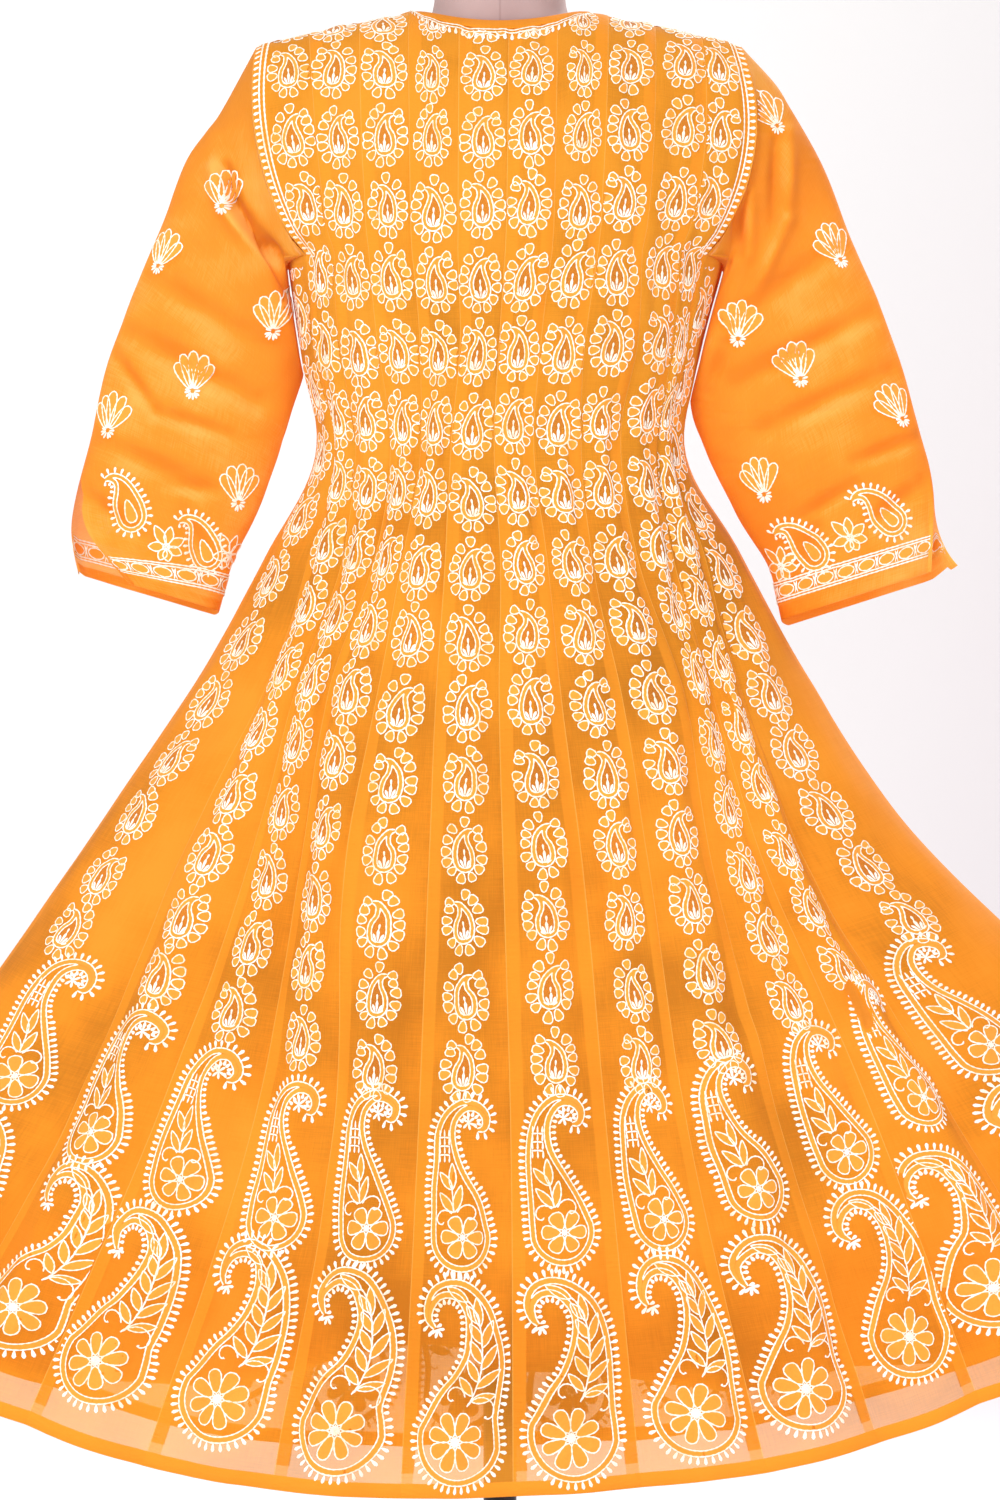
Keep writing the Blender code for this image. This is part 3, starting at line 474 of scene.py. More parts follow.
class Panel(Surface):
    """A quarter of the gown: rows from the neckline to the hem, columns from the centre to the side seam."""

    def __init__(self, side, face):
        self.side, self.face = side, face
        self.lift = LIFT
        self.seams = np.append((np.arange(GORES)[:, None] + COLUMN_SHARES).ravel(), GORES)
        bodice = np.linspace(CHEST_DROP, 0, BODICE_STEPS + 1)[:-1]
        self.drops = np.concatenate([bodice, np.linspace(0, SKIRT_LENGTH, SKIRT_STEPS + 1)])
        body = body_point(side, face, *np.meshgrid(self.seams, self.drops))
        beyond = self.seams > ARMHOLE_SEAM + MERGE
        upper = self.yoke()
        upper[:, beyond] = body[0, beyond]
        points = np.concatenate([upper, body])
        outward = outward_from(points)
        normals = grid_normals(points, outward)
        self.points = points - normals * self.sunk(points)[..., None]
        self.points[..., 1] = face * np.maximum(face * self.points[..., 1], RIDGE_HALF_GAP)
        self.normals = grid_normals(self.points, outward)
        self.normals[:YOKE_STEPS, beyond] = self.normals[YOKE_STEPS, beyond]
        sides = np.linalg.norm(np.diff(self.points, axis=1), axis=-1)
        self.widths = sides.reshape(len(self.points), GORES, GORE_COLUMNS).sum(axis=2)
        self.measure_yoke()

    def yoke(self):
        """The rows of points from the neckline or the shoulder seam down to the chest."""
        lowest = NECK_BACK_GORES if self.face < 0 else NECK_FRONT_GORES
        seams = np.minimum(self.seams, ARMHOLE_SEAM)
        top = neck_climb(self.side, seams, NECK_WIDTH_GORES, lowest)
        share = np.arange(YOKE_STEPS)[:, None] / YOKE_STEPS
        climb = np.minimum(top[None, :] * (1 - share), QUARTER_TURN - MERGE)
        upper = yoke_point(self.side, self.face, np.broadcast_to(seams, climb.shape), climb)
        upper[..., 1] = self.face * np.maximum(np.abs(upper[..., 1]), RIDGE_HALF_GAP)
        return upper

    def sunk(self, points):
        """How deep creases, rumples and the seams' grooves lie at each point."""
        drops = np.concatenate([np.full(YOKE_STEPS, CHEST_DROP), self.drops])[:, None]
        sink = creased(points, CREASES_BACK if self.face < 0 else CREASES_FRONT)
        heights = drops + points[..., 2] * RUMPLE_SLANT
        for waves, per_metre, phase, depth in RUMPLES:
            turn = waves * self.seams[None, :] * self.side + per_metre * heights + phase * self.face
            sink = sink + depth * np.sin(2 * math.pi * turn) * (1 + np.clip(drops, 0, 1))
        groove = np.zeros(len(self.seams))
        groove[0::GORE_COLUMNS] = SEAM_GROOVE[0]
        groove[1::GORE_COLUMNS] = SEAM_GROOVE[1]
        groove[GORE_COLUMNS - 1 :: GORE_COLUMNS] = SEAM_GROOVE[1]
        still = np.clip((GORES - self.seams) * RUMPLE_STILL, 0, 1)
        return sink * still + groove

    def measure_yoke(self):
        """For each column, how far up the cloth each yoke row lies above the chest, and the reverse."""
        rows = self.points[: YOKE_STEPS + 1]
        steps = np.linalg.norm(np.diff(rows, axis=0), axis=-1)
        climbed = np.cumsum(steps[::-1], axis=0)[::-1]
        self.heights = np.concatenate([climbed, np.zeros((1, climbed.shape[1]))])
        self.levels = np.arange(0, YOKE_REACH, HEIGHT_STEP)
        table = []
        for column in range(self.heights.shape[1]):
            heights = self.heights[::-1, column]
            places = np.interp(self.levels, heights, np.arange(YOKE_STEPS, -1, -1.0))
            over = (self.levels - heights[-1]) / (heights[-1] / YOKE_STEPS + TINY)
            table.append(np.where(over > 0, -over, places))
        self.level_rows = np.array(table)

    def column_of(self, seam):
        return np.interp(seam, self.seams, np.arange(len(self.seams)))

    def row_of(self, seam, drop):
        """The row, in parts of a row, at a distance down the cloth; below 0 it is past the neckline."""
        row = YOKE_STEPS + np.interp(drop, self.drops, np.arange(len(self.drops)))
        high = drop < CHEST_DROP
        if high.any():
            column = np.clip(self.column_of(seam[high]), 0, self.level_rows.shape[0] - INSIDE_TABLE)
            level = np.clip((CHEST_DROP - drop[high]) / HEIGHT_STEP, 0, len(self.levels) - INSIDE_TABLE)
            row[high] = bilinear(self.level_rows[..., None], column, level)[..., 0]
        return row

    def below_top(self, seam, distance):
        """The row at a distance down the cloth from the neckline or the shoulder seam."""
        column = self.column_of(seam)
        fallen = self.heights[0] - self.heights
        low = np.floor(column).astype(int)
        part = column - low
        rows = np.arange(YOKE_STEPS + 1.0)
        left = np.array([np.interp(d, fallen[:, c], rows) for d, c in zip(distance, low)])
        right = np.array([np.interp(d, fallen[:, c + 1], rows) for d, c in zip(distance, low)])
        return left + (right - left) * part

    def width_at(self, row, number):
        """How wide a gore is at a row."""
        return np.interp(row, range(len(self.widths)), self.widths[:, number - 1])


# ---------------------------------------------------------------- meshes

def new_object(name, points, faces, materials, kinds=None, uvs=None):
    """A mesh object from arrays; uvs is a dict of layer name to one (u, v) for each point."""
    points = np.asarray(points, np.float32)
    faces = np.asarray(faces, np.int32)
    mesh = bpy.data.meshes.new(name)
    mesh.vertices.add(len(points))
    mesh.vertices.foreach_set("co", points.ravel())
    mesh.loops.add(faces.size)
    mesh.loops.foreach_set("vertex_index", faces.ravel())
    mesh.polygons.add(len(faces))
    starts = np.arange(0, faces.size, faces.shape[1], dtype=np.int32)
    mesh.polygons.foreach_set("loop_start", starts)
    if kinds is not None:
        mesh.polygons.foreach_set("material_index", np.asarray(kinds, np.int32))
    for layer, values in (uvs or {}).items():
        data = mesh.uv_layers.new(name=layer).data
        data.foreach_set("uv", np.asarray(values, np.float32)[faces.ravel()].ravel())
    mesh.update(calc_edges=True)
    mesh.validate()
    mesh.shade_smooth()
    for material in materials:
        mesh.materials.append(material)
    obj = bpy.data.objects.new(name, mesh)
    bpy.context.scene.collection.objects.link(obj)
    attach(obj, "root")
    return obj


def quads_of(rows, columns, closed=False):
    """Quads over a grid of points numbered row by row."""
    cells = np.arange(rows - 1), np.arange(columns if closed else columns - 1)
    row, column = np.meshgrid(*cells, indexing="ij")
    right = (column + 1) % columns
    here, below = row * columns, (row + 1) * columns
    quads = np.stack([here + column, below + column, below + right, here + right], axis=-1)
    return quads.reshape(-1, 4)


class Cloth:
    """Gathers grids of cloth into one mesh of quads with its weave coordinates."""

    def __init__(self):
        self.points, self.quads, self.weave, self.seam = [], [], [], []
        self.count = 0

    def add(self, points, weave, seam, closed=False, flip=False):
        rows, columns = points.shape[:2]
        quads = quads_of(rows, columns, closed)
        quads = quads[:, ::-1] if flip else quads
        self.quads.append(quads + self.count)
        self.points.append(points.reshape(-1, 3))
        self.weave.append(weave.reshape(-1, 2))
        self.seam.append(seam.reshape(-1, 2))
        self.count += rows * columns

    def build(self, name, materials):
        uvs = {"weave": np.concatenate(self.weave), "seam": np.concatenate(self.seam)}
        points, quads = np.concatenate(self.points), np.concatenate(self.quads)
        return new_object(name, points, quads, materials, uvs=uvs)


# The hem turns up behind the cloth: how far, how far its edge hangs below the cloth, where it lies
# flat again, and how deep its four rows of points lie.
HEM_TURN = 0.011
HEM_LIP = 0.0004
HEM_FLAT = 0.006
TURN_DEPTHS = np.array([-0.0005, -0.0010, -0.0010, -0.0010])
# A seam allowance's width and depth inside the gown, and where it starts, as a share of the gore.
ALLOWANCE = 0.012
ALLOWANCE_DEPTH = 0.0009
ALLOWANCE_START = 0.004


def pressed_edges(panel, number):
    """The long edges of a gore that hold the pressed seam allowances, and the way in from each."""
    return ((0, 1), (1, -1)) if panel.side > 0 and number == 1 else ((1, -1),)


def gore_uv(panel, number, seam, drop):
    """Weave coordinates, and the distance from the nearest pressed seam, in metres."""
    width = cut_width(drop)
    across_gore = (seam - number + 0.5) * width * panel.side
    pressed = pressed_edges(panel, number)
    distances = [(seam - (number - 1 + edge)) * way * width for edge, way in pressed]
    return np.stack([across_gore, drop], axis=-1), np.stack([np.min(distances, axis=0), drop], axis=-1)


def row_drops(panel):
    """A length down the cloth for every row; in the yoke it is counted up from the chest."""
    middle = panel.heights.max(axis=1)[:YOKE_STEPS]
    return np.concatenate([CHEST_DROP - middle, panel.drops])


def build_gore(panel, number, name, materials):
    """One gore with its turned hem and the pressed seam allowances behind it."""
    first = (number - 1) * GORE_COLUMNS
    columns = np.arange(first, first + GORE_COLUMNS + 1)
    top = 0 if number <= ARMHOLE_SEAM else YOKE_STEPS
    rows = np.arange(top, len(panel.points))
    drops = row_drops(panel)
    points = panel.points[np.ix_(rows, columns)]
    seam, drop = np.meshgrid(panel.seams[columns], drops[rows])
    turned_drops = SKIRT_LENGTH + np.array([HEM_LIP, 0, -HEM_FLAT, -HEM_TURN])
    turn_seam, turn_drop = np.meshgrid(panel.seams[columns], turned_drops)
    turn_row = YOKE_STEPS + np.interp(turn_drop, panel.drops, np.arange(len(panel.drops)))
    turn_row = np.minimum(turn_row, len(panel.points) - 1)
    turn_column = np.broadcast_to(columns.astype(float), turn_drop.shape)
    turned = panel.at(turn_row, turn_column, np.broadcast_to(TURN_DEPTHS[:, None], turn_drop.shape))
    turned[0, :, 2] -= HEM_LIP
    flip = panel.side * panel.face < 0
    weave = gore_uv(panel, number, np.concatenate([seam, turn_seam]), np.concatenate([drop, turn_drop]))
    cloth = Cloth()
    cloth.add(np.concatenate([points, turned]), *weave, flip=flip)
    strip_rows = rows[:-2][::2]
    strip_drop = drops[strip_rows]
    share = ALLOWANCE / cut_width(strip_drop)
    for edge, way in pressed_edges(panel, number):
        start = number - 1 + edge
        near = np.full(len(share), start + way * ALLOWANCE_START)
        seam = np.stack([near, start + way * share * 0.5, start + way * share], axis=-1)
        row = np.broadcast_to(strip_rows[:, None].astype(float), seam.shape)
        place = panel.at(row, panel.column_of(seam), np.full(seam.shape, -ALLOWANCE_DEPTH))
        weave = gore_uv(panel, number, seam, np.broadcast_to(strip_drop[:, None], seam.shape))
        cloth.add(place, *weave, flip=flip != (way < 0))
    return cloth.build(name, materials)


# ---------------------------------------------------------------- motifs, charted flat in millimetres

THREAD, FACING, SHADE = 0, 1, 2
STITCH_STEP = 2.25
PETAL_STEP = 2.2
SWIRL_STEP = 1.6
THREAD_WIDTH = 1.3
# A strand's foot stands just off the cloth. Between stitches it is thin and low, and in the middle of
# each it is wider and higher: the share of its width and its height, then what the middle adds.
STRAND_FOOT = 0.05
STITCH_WIDTH = (0.68, 0.40)
STITCH_HEIGHT = (0.35, 0.25)
# A grain from start to end: shares of its length, of its width, and heights.
GRAIN_PLACES = np.array([0, 0.35, 0.75, 1.0])
GRAIN_WIDTHS = np.array([0.30, 0.75, 1.0, 0.35])
GRAIN_HEIGHTS = np.array([0.25, 0.6, 0.75, 0.3])
FACING_HEIGHT = 0.14
SHADE_HEIGHT = 0.10
OUTLINE_POINTS = 16
LEAF_POINTS = 9
# Powers that make a petal squarer than an ellipse and a leaf fuller than a sine.
PETAL_POWER = 0.8
LEAF_POWERS = (0.9, 0.8)


def towards(degrees):
    """A unit vector of a chart: 0 is up, turning to the right."""
    angle = math.radians(degrees)
    return np.array([math.sin(angle), -math.cos(angle)])


def rightward(degrees):
    """A unit vector of a chart: 0 is to the right, turning down."""
    angle = math.radians(degrees)
    return np.array([math.cos(angle), math.sin(angle)])


def rotated(flat, turn):
    """X and Y of a flat drawing after a turn."""
    x = flat[:, 0] * math.cos(turn) - flat[:, 1] * math.sin(turn)
    y = flat[:, 0] * math.sin(turn) + flat[:, 1] * math.cos(turn)
    return x, y


def along_rows(line):
    """Unit vectors along a line at each of its points."""
    ahead = np.gradient(line, axis=0)
    return ahead / np.linalg.norm(ahead, axis=1, keepdims=True)


def along_line(places, lengths, line):
    """Points of a flat line at distances along it."""
    return np.stack([np.interp(places, lengths, line[:, axis]) for axis in (0, 1)], axis=-1)


class Chart:
    """A motif drawn flat: x to the right and y down, with heights off the cloth, all in millimetres."""

    def __init__(self):
        self.points, self.faces, self.kinds = [], [], []
        self.count = 0

    def add(self, points, faces, kind):
        self.points.append(np.asarray(points, float))
        self.faces.append(np.asarray(faces, int) + self.count)
        self.kinds.append(np.full(len(faces), kind))
        self.count += len(points)

    def ribbon(self, line, widths, heights, closed=False):
        """A tent-shaped strand along a line."""
        ahead = np.roll(line, -1, axis=0) - np.roll(line, 1, axis=0) if closed else np.gradient(line, axis=0)
        ahead /= np.linalg.norm(ahead, axis=1, keepdims=True) + TINY
        aside = np.column_stack([-ahead[:, 1], ahead[:, 0]]) * np.asarray(widths)[:, None] / 2
        foot = np.full(len(line), STRAND_FOOT)
        left = np.column_stack([line + aside, foot])
        right = np.column_stack([line - aside, foot])
        ridge = np.column_stack([line, heights])
        points = np.stack([left, ridge, right], axis=1).reshape(-1, 3)
        here = np.arange(len(line) if closed else len(line) - 1)
        there = (here + 1) % len(line)
        faces = []
        for a, b in ((0, 1), (1, 2)):
            faces.append(np.column_stack([here * 3 + a, here * 3 + b, there * 3 + b]))
            faces.append(np.column_stack([here * 3 + a, there * 3 + b, there * 3 + a]))
        self.add(points, np.concatenate(faces), THREAD)

    def thread(self, line, width=THREAD_WIDTH, closed=False, step=STITCH_STEP):
        """A stitched line: the strand is thick in the middle of each stitch and thin between two."""
        line = resample(line, step, closed)
        pulse = np.arange(len(line)) % 2
        widths = width * (STITCH_WIDTH[0] + STITCH_WIDTH[1] * pulse)
        self.ribbon(line, widths, STITCH_HEIGHT[0] + STITCH_HEIGHT[1] * pulse, closed)

    def grain(self, start, end, width):
        """One fat stitch, pointed at its start and round at its end."""
        start, end = np.array(start, float), np.array(end, float)
        line = start + (end - start) * GRAIN_PLACES[:, None]
        self.ribbon(line, width * GRAIN_WIDTHS, GRAIN_HEIGHTS)

    def flat_patch(self, flat, faces, kind, height):
        self.add(np.column_stack([flat, np.full(len(flat), height)]), np.concatenate(faces), kind)

    def fill(self, outline, kind=FACING, height=FACING_HEIGHT):
        """A flat patch inside a closed outline, as a fan with one ring between."""
        outline = np.asarray(outline)
        middle = outline.mean(axis=0)
        ring = middle + (outline - middle) * 0.5
        count = len(outline)
        here = np.arange(count)
        there = (here + 1) % count
        self.flat_patch(np.concatenate([outline, ring, [middle]]), [
            np.column_stack([here, there, there + count]),
            np.column_stack([here, there + count, here + count]),
            np.column_stack([here + count, there + count, np.full(count, 2 * count)]),
        ], kind, height)

    def strip(self, first, second, kind=FACING, height=FACING_HEIGHT):
        """A flat patch between two lines with as many points each."""
        count = len(first)
        here = np.arange(count - 1)
        self.flat_patch(np.concatenate([first, second]), [
            np.column_stack([here, here + 1, here + 1 + count]),
            np.column_stack([here, here + 1 + count, here + count]),
        ], kind, height)

    def loop(self, base, direction, length, width, thread=1.35, rounded=0.22):
        """A petal: a closed loop of stitches that starts at base, wider towards its far end."""
        direction = np.array(direction, float)
        direction /= np.linalg.norm(direction)
        aside = np.array([-direction[1], direction[0]])
        turn = np.linspace(0, 2 * math.pi, OUTLINE_POINTS, endpoint=False)
        along = -np.sign(np.cos(turn)) * np.abs(np.cos(turn)) ** PETAL_POWER
        wide = np.sign(np.sin(turn)) * np.abs(np.sin(turn)) ** PETAL_POWER * (1 + rounded * along)
        line = np.array(base) + direction * (along[:, None] + 1) * length / 2
        line = line + aside * wide[:, None] * width / 2
        self.fill(line[::2])
        self.thread(line, thread, closed=True, step=PETAL_STEP)

    def oval(self, middle, length, height):
        turn = np.linspace(0, 2 * math.pi, OUTLINE_POINTS, endpoint=False)
        line = np.array(middle) + np.column_stack([np.cos(turn) * length / 2, np.sin(turn) * height / 2])
        self.fill(line[::2])
        self.thread(line, closed=True)

    def leaf(self, base, tip, width):
        """A leaf outline, pointed at both ends, with its inside filled."""
        base, tip = np.array(base, float), np.array(tip, float)
        ahead = tip - base
        aside = np.array([-ahead[1], ahead[0]]) / np.linalg.norm(ahead)
        shares = np.linspace(0, 1, LEAF_POINTS)
        wide = np.sin(math.pi * shares ** LEAF_POWERS[0]) ** LEAF_POWERS[1] * width / 2
        one = base + ahead * shares[:, None] + aside * wide[:, None]
        other = base + ahead * shares[:, None] - aside * wide[:, None]
        self.strip(one, other)
        self.thread(one)
        self.thread(other)

    def arrays(self):
        return tuple(np.concatenate(rows) for rows in (self.points, self.faces, self.kinds))


def resample(line, step, closed=False):
    """The line with points an even distance apart, an even count of steps."""
    line = np.asarray(line, float)
    if closed:
        line = np.concatenate([line, line[:1]])
    lengths = lengths_along(line)
    count = max(2, 2 * round(lengths[-1] / step / 2))
    places = np.linspace(0, lengths[-1], count + 1)
    return along_line(places[:-1] if closed else places, lengths, line)


LEAST_RADIUS = 0.05
OPEN_RADIUS = 0.45
INNER_THREAD = 0.9


def smooth_line(points, steps):
    """A curve through points given in order."""
    table = np.column_stack([np.arange(len(points)), points])
    return smooth_table(table, np.linspace(0, len(points) - 1, steps))


def paisley(spine, inset, steps, cap_steps):
    """A body that tapers along a spine of (x, y, radius), its edge moved in by inset.

    Returns its outline (one side, round the base, the other side), its middle line, both sides and the
    last row that is wide enough for a ground inside it.
    """
    rows = smooth_line(spine, steps)
    middle = rows[:, :2]
    radius = np.maximum(rows[:, 2] - inset, LEAST_RADIUS)
    ahead = along_rows(middle)
    aside = np.column_stack([-ahead[:, 1], ahead[:, 0]])
    right = middle + aside * radius[:, None]
    left = middle - aside * radius[:, None]
    turn = np.linspace(QUARTER_TURN, -QUARTER_TURN, cap_steps)[1:-1, None]
    cap = middle[0] - ahead[0] * radius[0] * np.cos(turn) + aside[0] * radius[0] * np.sin(turn)
    open_rows = np.flatnonzero(rows[:, 2] - inset > OPEN_RADIUS)
    last = open_rows[-1] if len(open_rows) else steps - 1
    return np.concatenate([right[::-1], cap, left]), middle, right, left, last


def paisley_body(chart, spine, band, thread, steps, cap_steps=9, ground=False):
    """The double outline with its band, and perhaps the shaded ground inside. Returns the outer outline."""
    outer, middle, _, _, _ = paisley(spine, 0, steps, cap_steps)
    inner, _, right, left, last = paisley(spine, band, steps, cap_steps)
    chart.strip(outer, inner)
    if ground:
        for one, other in ((right, middle), (middle, left)):
            chart.strip(one[: last + 1], other[: last + 1], SHADE, SHADE_HEIGHT)
        chart.fill(inner[steps - 1 : len(inner) - steps + 1], SHADE, SHADE_HEIGHT)
    chart.thread(outer, thread)
    tip = middle[min(last + 1, steps - 1)]
    spare = steps - 1 - last
    chart.thread(np.concatenate([[tip], inner[spare : len(inner) - spare], [tip]]), thread * INNER_THREAD)
    return outer


# Grains stand this far off their outline; in its hollows, from this bend on, they are shorter.
SPIKE_GAP = 0.6
HOLLOW_BEND = -0.02


def spikes(chart, outline, pitch, length, width, inner_length):
    """Grain stitches standing out all round an outline."""
    line = resample(outline, pitch)
    ahead = along_rows(line)
    out = np.column_stack([ahead[:, 1], -ahead[:, 0]])
    bend = np.cross(np.gradient(ahead, axis=0), ahead)
    hollow = bend * np.sign(bend.sum()) < HOLLOW_BEND
    for place, way, short in zip(line, out, hollow):
        start = place + way * SPIKE_GAP
        chart.grain(start, start + way * (inner_length if short else length), width)


# How far in a swirl's thread runs, and the grain at its end: reach, shift and width.
SWIRL_DEPTH = 0.72
SWIRL_GRAIN = (0.8, (0, 1.2), 2.4)


def swirl(chart, start, centre, turns):
    """A thread that curls in from start round centre."""
    start, centre = np.array(start, float), np.array(centre, float)
    radius = np.linalg.norm(start - centre)
    first = math.atan2(start[1] - centre[1], start[0] - centre[0])
    share = np.linspace(0, 1, 12)
    turn = first + share * turns * 2 * math.pi
    reach = radius * (1 - SWIRL_DEPTH * share)
    line = centre + np.column_stack([np.cos(turn), np.sin(turn)]) * reach[:, None]
    chart.thread(line, step=SWIRL_STEP)
    reach, shift, width = SWIRL_GRAIN
    chart.grain(line[-1], line[-1] + (centre - line[-1]) * reach + shift, width)


def leaves(chart, rows):
    for base, tip, width in rows:
        chart.leaf(base, tip, width)


def grain_ring(chart, centre, count, length, width):
    """Grains out of one point, evenly all round it."""
    for index in range(count):
        chart.grain(centre, centre + towards(360 / count * index) * (1, -1) * length, width)


def shaky(rng, spine, spread):
    """A spine with its points moved a little."""
    spine = np.array(spine)
    spine[:, :2] += rng.normal(0, spread, (len(spine), 2))
    return spine


def flower(chart, rng, centre, count, first, start, length, width, **shape):
    """Petals evenly round a centre; length and width each come with their spread."""
    for index in range(count):
        out = towards(360 // count * index + first)
        chart.loop(centre + out * start, out, rng.normal(*length), rng.normal(*width), **shape)


def spray(chart, start, angles, length, width):
    """Grains out of one point."""
    for angle in angles:
        chart.grain(start, start + rightward(angle) * length, width)


# Spines of the paisleys from the base to the tip: x, y, radius.
BUTI_SPINE = (
    (0.0, 8.4, 9.2), (-0.7, 2.2, 9.0), (-1.2, -4.8, 6.6), (0.2, -11.0, 3.9), (3.2, -15.0, 2.2),
    (7.2, -16.4, 0.8),
)
BUTI_SPREAD = 0.25
BUTI_BAND = 3.5
# The grains inside: start, end, width.
BUTI_GRAINS = (
    ((0.1, 13.2), (-0.1, 3.8), 2.6), ((-0.2, 4.0), (-0.4, -0.8), 1.9), ((-1.0, 13.8), (-4.0, 7.4), 2.3),
    ((1.2, 13.8), (4.1, 7.6), 2.3), ((1.7, 14.4), (5.4, 11.6), 1.9), ((-1.7, 14.4), (-5.4, 11.4), 1.9),
)
# The petals stand round an egg-shaped ring, one of them on the tip.
BUTI_PETALS = 13
BUTI_HALF_WIDTH = 10.0
BUTI_HALF_HEIGHT = 18.0
BUTI_ROUND = 1.6
BUTI_PETAL = {"thread": 1.25, "rounded": 0.42}


def buti_chart(rng):
    """The small paisley with petals all round it."""
    chart = Chart()
    spine = shaky(rng, BUTI_SPINE, BUTI_SPREAD)
    paisley_body(chart, spine, BUTI_BAND, 1.4, steps=18, ground=True)
    for start, end, width in BUTI_GRAINS:
        chart.grain(start, end + rng.normal(0, BUTI_SPREAD, 2), width)
    turn = np.linspace(0, 2 * math.pi, 73)
    half_width = BUTI_HALF_WIDTH + BUTI_ROUND * np.cos(turn)
    ring = np.column_stack([half_width * np.sin(turn), BUTI_HALF_HEIGHT * np.cos(turn)])
    lengths = lengths_along(ring)
    tip, before = spine[-1, :2], spine[-2, :2]
    tip_place = lengths[np.argmin(np.linalg.norm(ring - tip, axis=1))]
    for index in range(1, BUTI_PETALS):
        place = (tip_place + lengths[-1] * (index + rng.normal(0, 0.08)) / BUTI_PETALS) % lengths[-1]
        base = along_line(place, lengths, ring)
        angle = np.interp(place, lengths, turn)
        out = np.array([math.sin(angle) * 1.15, math.cos(angle)]) + rng.normal(0, 0.08, 2)
        chart.loop(base + out * 0.5, out, rng.normal(8.6, 0.5), rng.normal(6.9, 0.4), **BUTI_PETAL)
    chart.loop(tip + (0.2, 0.4), (tip - before) + (0, 0.4), 7.8, 6.6, **BUTI_PETAL)
    return chart.arrays()


UPPER_SPINE = (
    (0.0, 0.0, 25.5), (-5.0, -18.0, 22.5), (-11.0, -40.0, 17.0), (-15.4, -62.0, 11.4), (-16.0, -80.0, 8.6),
    (-11.6, -94.0, 6.6), (-1.5, -103.5, 5.0), (10.0, -103.0, 3.7), (17.8, -95.0, 3.3), (16.6, -86.5, 2.6),
    (11.0, -85.0, 1.2),
)
# Leaves: base, tip, width.
UPPER_LEAVES = (
    ((-9.0, -37.0), (-21.0, -51.0), 6.4), ((-8.8, -37.0), (-9.8, -58.5), 6.2),
    ((-6.6, -20.0), (-20.2, -34.5), 6.6), ((-6.0, -20.0), (-2.0, -41.0), 6.4),
)
UPPER_STEM = ((-9.0, -37.0), (-7.6, -28.0), (-6.4, -20.0))
# The lattice leans outwards from its middle column.
LATTICE_COLUMNS = (-21.0, -16.6, -12.4)
LATTICE_ROWS = (-84.0, -77.5, -71.0, -64.5)
LATTICE_THREADS = (-78.0, -71.4, -64.8)
LATTICE_LEAN = 0.12


def upper_chart(rng):
    """The taller paisley above: a spiral hook, a six-petalled flower, four leaves and a lattice neck."""
    chart = Chart()
    spine = shaky(rng, UPPER_SPINE, 0.4)
    outer = paisley_body(chart, spine, 4.2, 1.35, steps=44, cap_steps=17)
    spikes(chart, outer, 5.0, 5.8, 2.8, 4.2)
    centre = np.array([1.2, -0.4])
    flower(chart, rng, centre, 6, 30, 3.0, (14.5, 0.5), (9.8, 0.4), thread=1.3, rounded=0.42)
    grain_ring(chart, centre, 8, 2.8, 1.6)
    leaves(chart, UPPER_LEAVES)
    chart.thread(UPPER_STEM)
    for column in LATTICE_COLUMNS:
        lean = (column - LATTICE_COLUMNS[1]) * LATTICE_LEAN
        for row in LATTICE_ROWS:
            top = (column + lean * (row + 74) * 0.05, row)
            chart.grain(top, (column + lean * (row + 68) * 0.05, row + 5.6), 1.7)
    for row in LATTICE_THREADS:
        chart.thread([(-21.5, row + 0.4), (-16.6, row), (-12.0, row + 0.4)])
    swirl(chart, (-4.0, -20.0), (5.6, -18.4), 0.75)
    swirl(chart, (-8.0, -19.0), (-15.4, -13.6), -0.7)
    spray(chart, (3.4, -90.5), (-150, -95, -40, 20, 75, 130), 6.2, 2.2)
    return chart.arrays()


LOWER_SPINE = (
    (0.0, 0.0, 36.5), (5.7, -22.2, 29.5), (13.4, -42.5, 23.0), (17.5, -62.7, 18.3),
    (17.0, -83.0, 14.0), (12.4, -100.4, 11.0), (1.6, -113.6, 8.5), (-11.9, -118.5, 7.0),
    (-23.3, -114.0, 5.8), (-29.4, -103.5, 4.2), (-28.5, -93.7, 2.8), (-24.0, -87.0, 1.2),
)
LOWER_STEM = (
    (7.0, -26.0), (11.5, -33.0), (15.8, -46.5), (17.2, -60.0), (16.4, -77.0), (13.6, -92.0), (8.4, -104.0),
    (3.6, -109.0),
)
LOWER_LEAVES = (
    ((11.0, -34.0), (-1.2, -49.0), 7.0), ((15.0, -45.0), (5.0, -62.5), 7.2),
    ((17.0, -60.0), (6.6, -77.0), 7.2), ((16.5, -75.0), (6.8, -91.0), 7.0),
    ((13.8, -90.5), (3.0, -104.0), 6.8), ((10.5, -30.0), (31.0, -36.0), 7.0),
    ((13.8, -40.0), (33.2, -56.0), 7.4), ((16.8, -55.0), (30.6, -75.0), 7.4),
    ((16.8, -72.0), (25.0, -94.0), 7.2), ((14.8, -88.0), (11.0, -111.0), 7.2),
    ((4.4, -108.0), (-15.5, -119.0), 7.4),
)


